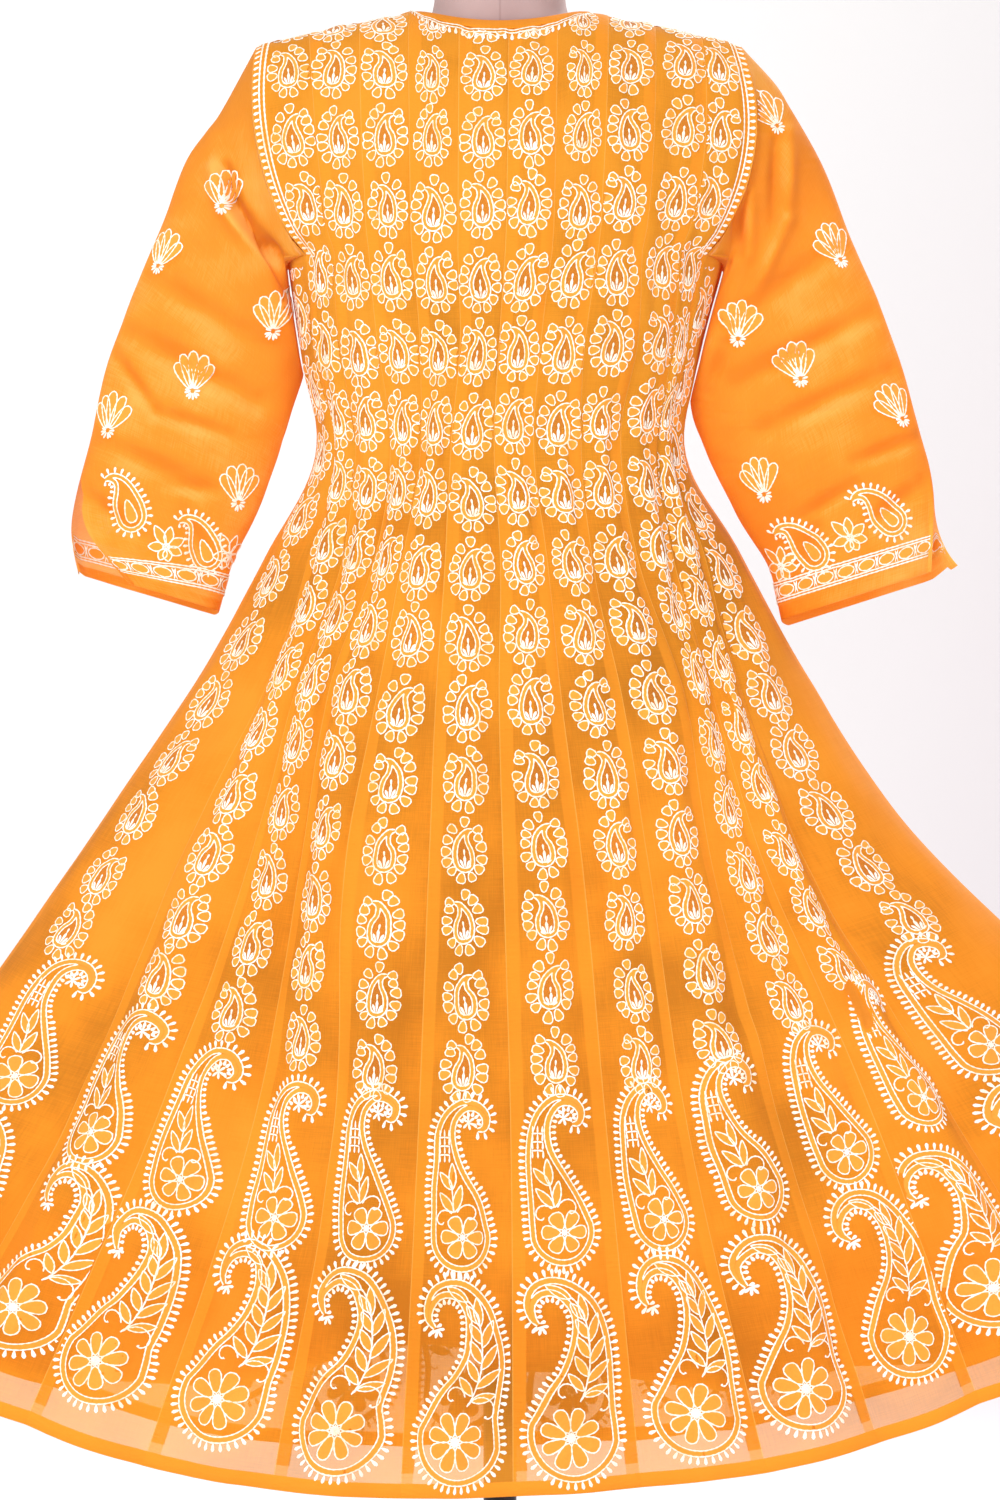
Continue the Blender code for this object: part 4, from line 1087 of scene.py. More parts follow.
def lower_chart(rng):
    """The large paisley at the hem: a C-shaped hook, an eight-petalled flower and a leafy stem."""
    chart = Chart()
    spine = shaky(rng, LOWER_SPINE, 0.5)
    outer = paisley_body(chart, spine, 4.7, 1.4, steps=50, cap_steps=21)
    spikes(chart, outer, 5.5, 6.4, 3.0, 4.6)
    centre = np.array([-2.8, 2.0])
    flower(chart, rng, centre, 8, 22, 4.6, (19.5, 0.6), (10.4, 0.5), rounded=0.35)
    grain_ring(chart, centre, 14, 4.6, 1.7)
    chart.thread(smooth_line(LOWER_STEM, 30), 1.4)
    leaves(chart, [(base, tip + rng.normal(0, 0.4, 2), width) for base, tip, width in LOWER_LEAVES])
    swirl(chart, (8.0, -27.0), (22.0, -21.0), 0.62)
    swirl(chart, (5.0, -33.0), (-5.4, -33.0), -0.7)
    spray(chart, (-21.5, -86.0), (60, 105, 150), 7.0, 2.6)
    chart.grain((-21.5, -86.0), (-15.8, -86.0), 2.6)
    return chart.arrays()


class Embroidery:
    """Gathers placed motifs into one mesh."""

    def __init__(self):
        self.points, self.faces, self.kinds = [], [], []
        self.count = 0

    def add(self, surface, row, column, chart, keep=True, inside=False):
        """Lays a charted motif on a surface, each of its points at a row and column of the grid."""
        flat, faces, kinds = chart
        lift = (surface.lift + flat[:, 2] / 1000) * (-1 if inside else 1)
        points = surface.at(row, column, lift)
        normals = points - surface.at(row, column, np.zeros_like(lift))
        wanted = np.broadcast_to(keep, len(flat))[faces].all(axis=1)
        if not wanted.any():
            return
        one, two, three = points[faces[wanted]].transpose(1, 0, 2)
        if (np.cross(two - one, three - one) * normals[faces[wanted][:, 0]]).sum() < 0:
            faces = faces[:, ::-1]
        self.points.append(points)
        self.faces.append(faces[wanted] + self.count)
        self.kinds.append(kinds[wanted])
        self.count += len(points)

    def build(self, name, materials):
        points, faces = np.concatenate(self.points), np.concatenate(self.faces)
        used = np.zeros(len(points), bool)
        used[faces.ravel()] = True
        fresh = np.cumsum(used) - 1
        return new_object(name, points[used], fresh[faces], materials, np.concatenate(self.kinds))


# A motif takes up this share of a gore's width, and stops short of the seams, the top and the hem.
MOTIF_SPREAD = 0.93
SEAM_MARGIN = 0.006
TOP_MARGIN_ROWS = 0.9
HEM_MARGIN = 0.002
# Hand stitches waver: height and reach of a slow wave and a quick one, in millimetres.
SLOW_WAVE = (0.5, 13)
QUICK_WAVE = (0.3, 7)


def place_motif(out, panel, number, chart, x, drop, rng, turn, scale=1.0, flip=1.0, squeeze=1.0):
    """Puts a charted motif on a gore: x and chart in millimetres from the gore's middle, drop in metres."""
    flat = chart[0][:, :2] * (-scale * flip * panel.face, scale)
    wave = rng.uniform(0, 2 * math.pi, 4)
    slow = SLOW_WAVE[0] * np.sin(flat[:, ::-1] / SLOW_WAVE[1] + wave[:2])
    quick = QUICK_WAVE[0] * np.sin(flat / QUICK_WAVE[1] + wave[2:])
    turned_x, turned_y = rotated(flat + (slow + quick), turn)
    down = drop + turned_y / 1000
    cut = cut_width(down) * MOTIF_SPREAD
    row = panel.row_of(np.full(len(down), number - 0.5), down)
    width = np.maximum(cut, panel.width_at(row, number))
    seam = number - 0.5 + panel.side * (x / cut + turned_x * squeeze / width) / 1000
    keep = (seam > number - 1 + SEAM_MARGIN) & (seam < number - SEAM_MARGIN)
    row = panel.row_of(seam, down)
    top = 0 if number <= ARMHOLE_SEAM else YOKE_STEPS
    keep &= (row > top + TOP_MARGIN_ROWS) & (down < SKIRT_LENGTH - HEM_MARGIN)
    out.add(panel, row, panel.column_of(seam), chart, keep)


# Small motifs above and below the first; their step above the waist, and the width one needs.
BUTI_ROWS = range(-7, 10)
BUTI_STEP = 0.0575
BUTI_ROOM = 37.5
BUTI_CHARTS = 4
# Beside the armhole: two stitch lines, a row of grains from 6.6 to 1.4 mm off its edge, and how far
# the motifs of that gore make room for them.
ARMHOLE_LINES = (7.4, 11.6)
ARMHOLE_GRAINS = (6.6, 1.4)
ARMHOLE_SHIFT = 5.0
EDGE_THREAD = 1.7
# The middles of the motifs on gores 1 to 6, on the left and then on the right: the drop of the first
# small motif below the waist, the step from one to the next, and the drops of the two large ones.
MOTIF_DROPS_LEFT = (
    (-0.0090, 0.0568, 0.635, 0.792),
    (-0.0107, 0.0574, 0.629, 0.786),
    (-0.0130, 0.0553, 0.627, 0.773),
    (-0.0150, 0.0541, 0.613, 0.768),
    (-0.0200, 0.0537, 0.600, 0.751),
    (-0.0440, 0.0548, 0.579, 0.735),
)
MOTIF_DROPS_RIGHT = (
    (-0.0131, 0.0567, 0.633, 0.793),
    (-0.0133, 0.0575, 0.629, 0.782),
    (-0.0179, 0.0571, 0.617, 0.778),
    (-0.0230, 0.0552, 0.605, 0.762),
    (-0.0254, 0.0537, 0.581, 0.748),
    (-0.0480, 0.0538, 0.564, 0.722),
)
# How far outwards of its gore's middle each motif stands, in millimetres: small, upper, lower.
MOTIF_SHIFTS_LEFT = ((0, 0, -1), (0.5, -2, 0), (0, -4, 1), (0, 1, 7), (-1, 1, -10), (-4, -16, -16))
MOTIF_SHIFTS_RIGHT = ((-0.7, -2, -1), (0.8, -1, 3), (-1.5, 0, -3), (3, 5, 9), (-5, 5, -10), (-15, -20, -18))


def embroider_armhole(out, panel):
    """Two stitch lines and a row of grains beside the armhole, on the bodice."""
    rows = np.arange(YOKE_STEPS + 1)
    lengths = lengths_along(panel.points[rows, int(panel.column_of(ARMHOLE_SEAM))]) * 1000
    chart = Chart()
    line = np.column_stack([np.linspace(1.0, lengths[-1], 80), np.zeros(80)])
    for inset in ARMHOLE_LINES:
        chart.thread(line + (0, inset), EDGE_THREAD)
    for x in np.arange(4.0, lengths[-1], 5.6):
        chart.grain((x, ARMHOLE_GRAINS[0]), (x, ARMHOLE_GRAINS[1]), 2.8)
    chart = chart.arrays()
    row = np.interp(chart[0][:, 0], lengths, rows)
    seam = ARMHOLE_SEAM - chart[0][:, 1] / (panel.width_at(row, ARMHOLE_SEAM) * 1000)
    out.add(panel, row, panel.column_of(seam), chart)


def room_for_buti(panel, number, drop):
    """How much a small motif has to narrow to fit its gore."""
    width = cut_width(drop) * MOTIF_SPREAD
    if drop < 0:
        row = panel.row_of(np.array([number - 0.5]), np.array([drop]))[0]
        width = max(width, panel.width_at(row, number) - 0.001)
    return min(1.0, width * 1000 / BUTI_ROOM)


def embroider(panel, name, materials, seed):
    """All the motifs of a quarter of the gown."""
    rng = np.random.default_rng(seed)
    charts = [buti_chart(rng) for _ in range(BUTI_CHARTS)]
    drops = MOTIF_DROPS_LEFT if panel.side < 0 else MOTIF_DROPS_RIGHT
    shifts = MOTIF_SHIFTS_LEFT if panel.side < 0 else MOTIF_SHIFTS_RIGHT
    out = Embroidery()
    for number, (first, step, upper, lower), shift in zip(range(1, GORES + 1), drops, shifts):
        small_x, upper_x, lower_x = panel.side * np.array(shift)
        for row in BUTI_ROWS:
            drop = first + (step if row > 0 else BUTI_STEP) * row + rng.normal(0, 0.0010)
            flip = -1.0 if row % 2 else 1.0
            room = room_for_buti(panel, number, drop)
            x = small_x + rng.normal(0, 0.6)
            if number == ARMHOLE_SEAM and drop < CHEST_DROP:
                x -= panel.side * ARMHOLE_SHIFT
            place_motif(
                out, panel, number, charts[rng.integers(BUTI_CHARTS)], x, drop, rng,
                rng.normal(0, 0.05), rng.normal(1.0, 0.02), flip, room,
            )
        for chart, x, drop in ((upper_chart(rng), upper_x, upper), (lower_chart(rng), lower_x, lower)):
            drop += rng.normal(0, 0.001)
            place_motif(out, panel, number, chart, x, drop, rng, rng.normal(0, 0.02))
    embroider_armhole(out, panel)
    return out.build(name, materials)


# ---------------------------------------------------------------- lining

# How far the lining's lower edge hangs above the hem: seam number, negative on the left, then metres.
LINING_RISE = (
    (-6.0, 0.030), (-5.0, 0.034), (-4.3, 0.036), (-3.0, 0.066), (-2.4, 0.076), (-2.05, 0.092), (-1.8, 0.100),
    (-1.3, 0.114), (-0.9, 0.120), (-0.35, 0.116), (-0.3, 0.097), (0.35, 0.096), (1.05, 0.084), (1.9, 0.066),
    (2.95, 0.066), (3.9, 0.042), (5.0, 0.036), (6.0, 0.030),
)
LINING_STEPS = 52
LINING_GORES = 2
# The drop of the lining's upper edge, its depth behind the cloth there, and its full depth below.
LINING_START = 0.05
LINING_TOP_DEPTH = 0.0020
LINING_DEPTH = 0.0055
LINING_SETTLES = 0.05


def build_lining(panel, first_gore, name, materials):
    """One panel of the lining, two gores wide."""
    first = first_gore * GORE_COLUMNS
    columns = np.arange(first, first + LINING_GORES * GORE_COLUMNS + 1, 2)
    seams = panel.seams[columns]
    rise = np.interp(seams * panel.side, *np.transpose(LINING_RISE))
    share = np.linspace(0, 1, LINING_STEPS)[:, None]
    drop = LINING_START + (SKIRT_LENGTH - rise - LINING_START) * share
    seam = np.broadcast_to(seams, drop.shape)
    settled = LINING_START + LINING_SETTLES
    inset = np.interp(drop, (LINING_START, settled), (LINING_TOP_DEPTH, LINING_DEPTH))
    row = YOKE_STEPS + np.interp(drop, panel.drops, np.arange(len(panel.drops)))
    place = panel.at(row, np.broadcast_to(columns.astype(float), drop.shape), -inset)
    weave = np.stack([seam * cut_width(drop), drop], axis=-1)
    cloth = Cloth()
    cloth.add(place, weave, weave, flip=panel.side * panel.face < 0)
    return cloth.build(name, materials)


# ---------------------------------------------------------------- neck band

NECK_BAND_HEIGHT = 0.010
NECK_BAND_STEPS = 30
# Rings of the band from the gores' edge to its finished edge, and how far each is off the gores.
NECK_ROWS = (0.0, 0.05, 0.25, 0.5, 0.75, 0.92, 1.0)
NECK_LIFTS = (-0.0004, 0.0003, 0.0005, 0.0005, 0.0005, 0.0003, -0.0002)
# Rings of its turned inside: share and depth.
NECK_FACING = ((1.0, -0.0012), (0.9, -0.0015), (0.4, -0.0016), (0.0, -0.0016))


def neck_quarter(side, face, share):
    """Points along a quarter of the neckline; share 0 is the gores' edge and 1 the finished edge."""
    half_width = NECK_WIDTH_GORES + (NECK_WIDTH_BAND - NECK_WIDTH_GORES) * share
    gores_low = NECK_BACK_GORES if face < 0 else NECK_FRONT_GORES
    band_low = NECK_BACK_BAND if face < 0 else NECK_FRONT_BAND
    lowest = gores_low + (band_low - gores_low) * share
    top = np.array(SHOULDER_LEFT if side < 0 else SHOULDER_RIGHT)
    start = top[0] * half_width / NECK_WIDTH_GORES
    x = start + (half_width - start) * np.sin(np.linspace(0, QUARTER_TURN, NECK_BAND_STEPS))
    seam = np.interp(x, top, range(len(top)))
    climb = neckline(x, half_width, lowest)
    row = yoke_point(side, face, seam, np.clip(climb, 0, QUARTER_TURN - TINY))
    row[-1, 1] = 0
    return row


def neck_ring(share):
    """The same all the way round."""
    ring = []
    for side, face, reverse in ((-1, -1, True), (1, -1, False), (1, 1, True), (-1, 1, False)):
        row = neck_quarter(side, face, share)
        row = row[::-1] if reverse else row
        ring.append(row[:-1])
    return np.concatenate(ring)


def build_neck_band(materials):
    outside = np.stack([neck_ring(share) for share in NECK_ROWS])
    inside = np.stack([neck_ring(share) for share, _ in NECK_FACING])
    lifts = np.array(NECK_LIFTS)[:, None, None]
    depths = np.array([depth for _, depth in NECK_FACING])[:, None, None]
    normals = grid_normals(outside, outward_from(outside))
    inner_normals = np.stack([normals[-1], normals[-1], normals[3], normals[0]])
    rings = np.concatenate([outside + normals * lifts, inside + inner_normals * depths])
    lengths = np.cumsum(np.linalg.norm(np.diff(rings[0], axis=0, append=rings[0][:1]), axis=1))
    down = np.linspace(0, 2 * NECK_BAND_HEIGHT, len(rings))
    weave = np.stack(np.broadcast_arrays(lengths[None, :], down[:, None]), axis=-1)
    edge = np.stack(np.broadcast_arrays(np.full_like(weave[..., 0], FAR_FROM_SEAM), down[:, None]), axis=-1)
    cloth = Cloth()
    cloth.add(rings, weave, edge, closed=True)
    return cloth.build("neck_binding", materials)


# ---------------------------------------------------------------- sleeves

ARMHOLE_PLACES = 20
UNDERARM_PLACE = 10
YOKE_PLACES = 7
SLEEVE_COLUMNS = 120
SLEEVE_RINGS = 110
# The first ring stands this far off the armhole's edge.
SEAM_GAP = 0.0003
# The slit, left and then right: the coarse ring where it starts, how far its back edge is pulled round
# the sleeve over the columns that give way, and how far the front half hangs below the back half.
SLIT_START_RINGS = (11.4, 12.2)
SLIT_PULL = (0.057, 0.012)
SLIT_REACH = 52
FRONT_DROOP = (0.004, 0.006)
DROOP_START = 0.85
DROOP_SPAN = 0.15
DROOP_RISE = 2.5
# How far its edges stand apart, and how much of that their neighbours take.
SLIT_GAP = 0.006
SLIT_SHARES = (1.0, 0.75, 0.5, 0.25)
# The right front corner at the slit turns outwards: its columns, the share of the sleeve above it, and
# how far its tip moves.
CORNER_COLUMNS = 12
CORNER_START = 0.90
CORNER_SHIFT = np.array([0.018, 0.004, 0.010])
# Steps in which a place of the unrolled sleeve is found, the longest of them, and how near is found.
FIND_STEPS = 8
LONGEST_STEP = 6.0
FIND_LIMIT = 0.0008
CUFF_TURN = 0.012
CUFF_LIP = 0.0005
# Creases are this much deeper on a sleeve, but flatten out this near its edges.
SLEEVE_CREASE_DEPTH = 2.0
CREASE_EDGE = 0.012
# Slow waves over a sleeve: depth, waves round it, phase for each coarse ring and for the side.
SLEEVE_WAVES = ((0.0007, 3, 1.3, 0), (0.0005, 5, -2.1, 1))
WAVES_START = 3
# The distance from a seam on a sleeve carries the painted light and dark of its folds: painted shade in
# troughs and on flanks that face down, painted highlights on ridges and on flanks that face up. Slopes up
# to the first number and depths up to the second change it.
FAR_FROM_SEAM = 0.05
TONE_REACH = 0.005
FOLD_SLOPE = 0.9
FOLD_SINK = 0.008
SINK_SHARE = 0.6
# Below the arm a sleeve leans on the bodice, most at a height, and stays clear of its side seam from
# this part of the first coarse ring on.
LEAN = 0.008
LEAN_HEIGHT = 1.195
LEAN_REACH = 0.075
LEAN_CLEAR = 0.0016
LEAN_FROM_RING = 0.15
LEAN_LOWEST_DROP = 0.10
SLEEVE_CREASES_LEFT = (
    (-0.300, 1.205, -0.200, 1.150, 0.009, 0.0040),
    (-0.3136, 1.1876, -0.2784, 1.1412, 0.005, 0.0030),
    (-0.2784, 1.1412, -0.2208, 1.1228, 0.005, 0.0030),
    (-0.2688, 1.0828, -0.2320, 1.0772, 0.005, 0.0022),
    (-0.285, 1.250, -0.195, 1.195, 0.010, 0.0028),
    (-0.330, 1.120, -0.240, 1.080, 0.008, 0.0030),
    (-0.2224, 1.338, -0.2136, 1.3076, 0.005, 0.0060),
    (-0.2136, 1.3076, -0.196, 1.282, 0.005, 0.0070),
    (-0.196, 1.282, -0.178, 1.262, 0.005, 0.0070),
    (-0.231, 1.336, -0.222, 1.305, 0.007, -0.0040),
    (-0.222, 1.305, -0.204, 1.279, 0.007, -0.0040),
    (-0.340, 1.075, -0.300, 1.045, 0.007, 0.0030),
    (-0.255, 1.060, -0.235, 1.010, 0.008, 0.0030),
)
SLEEVE_CREASES_RIGHT = (
    (0.300, 1.220, 0.195, 1.165, 0.009, 0.0040),
    (0.318, 1.175, 0.215, 1.128, 0.008, 0.0034),
    (0.2872, 1.1004, 0.3424, 1.122, 0.005, 0.0030),
    (0.2408, 1.054, 0.2872, 1.082, 0.005, 0.0030),
    (0.1704, 1.1588, 0.1856, 1.1956, 0.005, 0.0025),
    (0.275, 1.275, 0.190, 1.215, 0.010, 0.0028),
    (0.2336, 1.3676, 0.232, 1.2956, 0.006, -0.0032),
    (0.232, 1.2956, 0.2056, 1.2356, 0.006, -0.0032),
    (0.2016, 1.3156, 0.2016, 1.2676, 0.005, -0.0028),
    (0.2240, 1.3600, 0.2225, 1.2956, 0.005, 0.0030),
    (0.1930, 1.3156, 0.1930, 1.2676, 0.005, 0.0028),
    (0.345, 1.085, 0.300, 1.050, 0.007, 0.0030),
    (0.262, 1.060, 0.240, 1.005, 0.008, 0.0030),
)


def armhole_point(side, place):
    """A point of the armhole's edge: place 0 on the shoulder, 10 under the arm, 20 on the shoulder again."""
    face = -1 if place <= UNDERARM_PLACE else 1
    place = place if place <= UNDERARM_PLACE else ARMHOLE_PLACES - place
    if place <= YOKE_PLACES:
        climb = QUARTER_TURN * (1 - place / YOKE_PLACES)
        point = yoke_point(side, face, ARMHOLE_SEAM, min(climb, QUARTER_TURN - TINY))
        return point * (1, 0, 1) if place == 0 else point
    seam = ARMHOLE_SEAM + (place - YOKE_PLACES) / (UNDERARM_PLACE - YOKE_PLACES)
    return body_point(side, face, seam, CHEST_DROP)


class Sleeve(Surface):
    """A sleeve as a dense grid: rows from the armhole to the cuff, columns round from its outer edge."""

    def __init__(self, side):
        self.side = side
        self.lift = SLEEVE_LIFT
        places = ARMHOLE_PLACES * np.arange(SLEEVE_COLUMNS + 1) / SLEEVE_COLUMNS
        self.turn = 2 * math.pi * places / ARMHOLE_PLACES
        rings = self.coarse_rings(places)
        self.ring_places = np.linspace(0, len(rings) - 1, SLEEVE_RINGS)
        coarse = np.column_stack([np.arange(len(rings)), rings.reshape(len(rings), -1)])
        points = smooth_table(coarse, self.ring_places).reshape(SLEEVE_RINGS, -1, 3)
        outward = points - points[:, :-1].mean(axis=1, keepdims=True)
        points = points - self.normals_of(points, outward) * self.sunk(points)[..., None]
        self.lean(points)
        slit_start = SLIT_START_RINGS[side > 0]
        slit = np.clip((self.ring_places - slit_start) / (len(rings) - 1 - slit_start), 0, 1)
        self.points = self.open_slit(points, slit)
        self.normals = self.normals_of(self.points, outward)
        steps = np.linalg.norm(np.diff(self.points, axis=0), axis=-1)
        self.fallen = np.concatenate([np.zeros((1, steps.shape[1])), np.cumsum(steps, axis=0)])
        self.row_step = float(self.fallen[-1].mean()) / (SLEEVE_RINGS - 1)
        sides = np.linalg.norm(np.diff(self.points, axis=1), axis=-1)
        self.gone_round = np.concatenate([np.zeros((SLEEVE_RINGS, 1)), np.cumsum(sides, axis=1)], axis=1)
        self.slit_row = int(np.argmax(slit > 0))
        self.lay_flat()

    def coarse_rings(self, places):
        """The armhole's edge, then an oval for each half row of the sleeve's table."""
        start = np.array([armhole_point(self.side, place) for place in places])
        start[:, 0] += self.side * SEAM_GAP
        rings = [start]
        table = np.array(SLEEVE_LEFT if self.side < 0 else SLEEVE_RIGHT)
        table = np.column_stack([np.arange(len(table)), table])
        rows = smooth_table(table, np.arange(0, len(table) - 0.5, 0.5))
        for outer_x, outer_z, inner_x, inner_z, depth in rows:
            x = self.side * ((outer_x + inner_x) / 2 + (outer_x - inner_x) / 2 * np.cos(self.turn))
            z = (outer_z + inner_z) / 2 + (outer_z - inner_z) / 2 * np.cos(self.turn)
            rings.append(np.column_stack([x, -depth * np.sin(self.turn), z]))
        return np.stack(rings)

    def sunk(self, points):
        """How deep creases and waves lie at each point; it also keeps the folds' painted light and dark."""
        creases = SLEEVE_CREASES_LEFT if self.side < 0 else SLEEVE_CREASES_RIGHT
        share = np.clip(np.abs(points[..., 1]) / CREASE_EDGE, 0, 1)
        sink = creased(points, creases) * share * SLEEVE_CREASE_DEPTH
        fall = np.linalg.norm(np.gradient(points, axis=0), axis=-1)
        # Painted light and dark of the folds: lighter where the cloth faces up or stands out, darker where it
        # sinks.
        slope = np.clip(np.gradient(sink, axis=0) / fall / FOLD_SLOPE, -1, 1)
        self.tone = -slope - SINK_SHARE * np.clip(sink / FOLD_SINK, -1, 1)
        down = self.ring_places[:, None]
        waves = sum(
            depth * np.sin(count * self.turn + down * per_ring + phase * self.side)
            for depth, count, per_ring, phase in SLEEVE_WAVES
        )
        return sink + np.clip(down / WAVES_START, 0, 1) * waves

    def lean(self, points):
        """Moves points inwards below the arm, but never past the bodice's side seam."""
        near = np.clip(1 - np.abs(points[..., 2] - LEAN_HEIGHT) / LEAN_REACH, 0, 1)
        points[..., 0] -= self.side * LEAN * (near * np.clip(-np.cos(self.turn), 0, 1))
        drops = np.linspace(CHEST_DROP, LEAN_LOWEST_DROP, 60)
        edge = np.array([body_point(self.side, BACK, GORES, drop) for drop in drops])
        beside = np.interp(points[..., 2], edge[::-1, 2], np.abs(edge[::-1, 0])) + LEAN_CLEAR
        held = (points[..., 2] < CHEST_HEIGHT) & (self.ring_places[:, None] > LEAN_FROM_RING)
        points[..., 0] = self.side * np.maximum(np.abs(points[..., 0]), np.where(held, beside, 0))

    def open_slit(self, points, slit):
        """Parts the cuff along its outer edge, pulls its back half in and lets its front half hang lower."""
        pull = SLIT_PULL[self.side > 0] * slit
        last = SLIT_REACH
        parted = points.copy()
        for row in np.flatnonzero(slit > 0):
            lengths = lengths_along(points[row])
            moved = lengths[:last] + pull[row] * (1 - lengths[:last] / lengths[last])
            for axis in range(3):
                parted[row, :last, axis] = np.interp(moved, lengths, points[row, :, axis])
        for reach, share in enumerate(SLIT_SHARES):
            parted[:, reach, 1] -= SLIT_GAP * slit * share
            parted[:, -1 - reach, 1] += SLIT_GAP * slit * share
        down = np.gradient(points[:, :-1].mean(axis=1), axis=0)
        down /= np.linalg.norm(down, axis=1, keepdims=True)
        columns = np.arange(SLEEVE_COLUMNS + 1)
        front = np.clip(-np.sin(2 * math.pi * columns / SLEEVE_COLUMNS) * DROOP_RISE, 0, 1)
        front[-3:] = 1.0
        fallen = self.ring_places / self.ring_places[-1]
        late = np.clip((fallen - DROOP_START) / DROOP_SPAN, 0, 1)[:, None]
        droop = FRONT_DROOP[self.side > 0] * front[None, :] * late
        droop[:, -1] = droop[:, -1] * (slit > 0)
        parted = parted + down[:, None] * droop[..., None]
        if self.side > 0:
            near = np.clip((columns - SLEEVE_COLUMNS + CORNER_COLUMNS) / CORNER_COLUMNS, 0, 1)
            low = np.clip((fallen - CORNER_START) / (1 - CORNER_START), 0, 1)
            parted = parted + (low[:, None] ** 2 * near[None, :] ** 2)[..., None] * CORNER_SHIFT
        return parted

    def lay_flat(self):
        """Unrolls the back half onto the X-Z plane, with some of the front half at both its edges."""
        quarter, half = SLEEVE_COLUMNS // 4, SLEEVE_COLUMNS // 2
        self.span = np.arange(-quarter // 2, half + quarter // 2 + 1)
        way = (self.points[:, 0] - self.points[:, half])[:, (0, 2)]
        way /= np.linalg.norm(way, axis=1, keepdims=True)
        length = self.gone_round[:, self.span % SLEEVE_COLUMNS]
        length = length - np.where(self.span < 0, self.gone_round[:, -1:], 0)
        reach = self.gone_round[:, quarter, None] - length
        self.flat = self.points[:, quarter, None][:, :, (0, 2)] + way[:, None] * reach[..., None]

    def find(self, target):
        """The row and column of each place of the unrolled sleeve, and whether it is on it."""
        last = np.array(self.flat.shape[:2]) - 1 - MERGE
        off = np.linalg.norm(self.flat - target.mean(axis=0), axis=-1)
        place = np.ones((len(target), 2)) * np.unravel_index(np.argmin(off), off.shape)
        for _ in range(FIND_STEPS):
            place = np.clip(place, 0, last)
            i, j = place.astype(int).T
            s, t = place[:, 0] - i, place[:, 1] - j
            corner, right = self.flat[i, j], self.flat[i, j + 1]
            below, across_below = self.flat[i + 1, j], self.flat[i + 1, j + 1]
            down = (below - corner) * (1 - t)[:, None] + (across_below - right) * t[:, None]
            along = (right - corner) * (1 - s)[:, None] + (across_below - below) * s[:, None]
            off = target - bilinear(self.flat, place[:, 0], place[:, 1])
            area = down[:, 0] * along[:, 1] - down[:, 1] * along[:, 0]
            step = np.stack([
                off[:, 0] * along[:, 1] - off[:, 1] * along[:, 0],
                down[:, 0] * off[:, 1] - down[:, 1] * off[:, 0],
            ], axis=-1) / area[:, None]
            place = place + np.clip(step, -LONGEST_STEP, LONGEST_STEP)
        place = np.clip(place, 0, last)
        miss = np.linalg.norm(bilinear(self.flat, place[:, 0], place[:, 1]) - target, axis=1)
        return place[:, 0], place[:, 1] + self.span[0], miss < FIND_LIMIT

    def normals_of(self, points, outward):
        """Normals that agree where the sleeve closes round."""
        normals = grid_normals(points, outward)
        ends = normals[:, 0] + normals[:, -1]
        ends /= np.linalg.norm(ends, axis=-1, keepdims=True)
        normals[:, 0] = normals[:, -1] = ends
        return normals

    def up_from_cuff(self, column, distance):
        """The row at a distance up the sleeve from the cuff's edge."""
        low = np.clip(np.floor(column).astype(int), 0, SLEEVE_COLUMNS - 1)
        rows = np.arange(SLEEVE_RINGS, dtype=float)
        fallen = self.fallen[:, low].T
        return np.array([np.interp(line[-1] - d, line, rows) for d, line in zip(distance, fallen)])


def build_sleeve(sleeve, name, materials):
    """A sleeve with its cuff turned up inside."""
    last, columns = SLEEVE_RINGS - 1, SLEEVE_COLUMNS + 1
    turned_rows = last - np.array([0, 0, CUFF_TURN / 2, CUFF_TURN]) / sleeve.row_step
    row, column = np.meshgrid(turned_rows, np.arange(columns, dtype=float), indexing="ij")
    turned = sleeve.at(row, column, np.broadcast_to(TURN_DEPTHS[:, None], row.shape))
    turned[0, :, 2] -= CUFF_LIP
    grid = np.concatenate([sleeve.points, turned])
    turned_down = sleeve.fallen[-1, 0] + np.array([0, 0.001, CUFF_TURN / 2, CUFF_TURN])
    down = np.broadcast_to(np.concatenate([sleeve.fallen[:, 0], turned_down])[:, None], grid.shape[:2])
    # The seam distance carries the folds' painted light and dark.
    gone_round, tone = (
        np.concatenate([rows, np.repeat(rows[-1:], len(TURN_DEPTHS), axis=0)])
        for rows in (sleeve.gone_round, sleeve.tone)
    )
    weave = np.stack([gone_round, down], axis=-1)
    edge = np.stack([FAR_FROM_SEAM + TONE_REACH * tone, down], axis=-1)
    cloth = Cloth()
    cloth.add(grid, weave, edge, flip=sleeve.side > 0)
    return cloth.build(name, materials)


# The flowers on the sleeves: X and Z of the middle in metres, turn in degrees.
FANS_LEFT = (
    (-0.2760, 1.2716, 20), (-0.2232, 1.3188, 5), (-0.1832, 1.2156, 5),
    (-0.2472, 1.1692, 8), (-0.3168, 1.1388, 12), (-0.2088, 1.0788, 5),
)
FANS_RIGHT = (
    (0.2192, 1.3844, -28), (0.2728, 1.2764, -25), (0.1952, 1.2100, 12),
    (0.2400, 1.1788, -12), (0.3224, 1.1476, -25), (0.2104, 1.0852, -12),
)
# The motifs above the cuff: X and Z of the middle, turn in degrees, and whether it is a flower.
CUFF_LEFT = (
    (-0.2400, 1.0348, -25, False), (-0.3024, 1.0676, -20, False),
    (-0.2696, 1.0316, 8, True), (-0.2152, 1.0244, 10, True),
)
CUFF_RIGHT = (
    (0.2448, 1.0330, -46, False), (0.3088, 1.0610, -48, False),
    (0.2830, 1.0390, -15, True), (0.2250, 1.0150, -10, True),
)
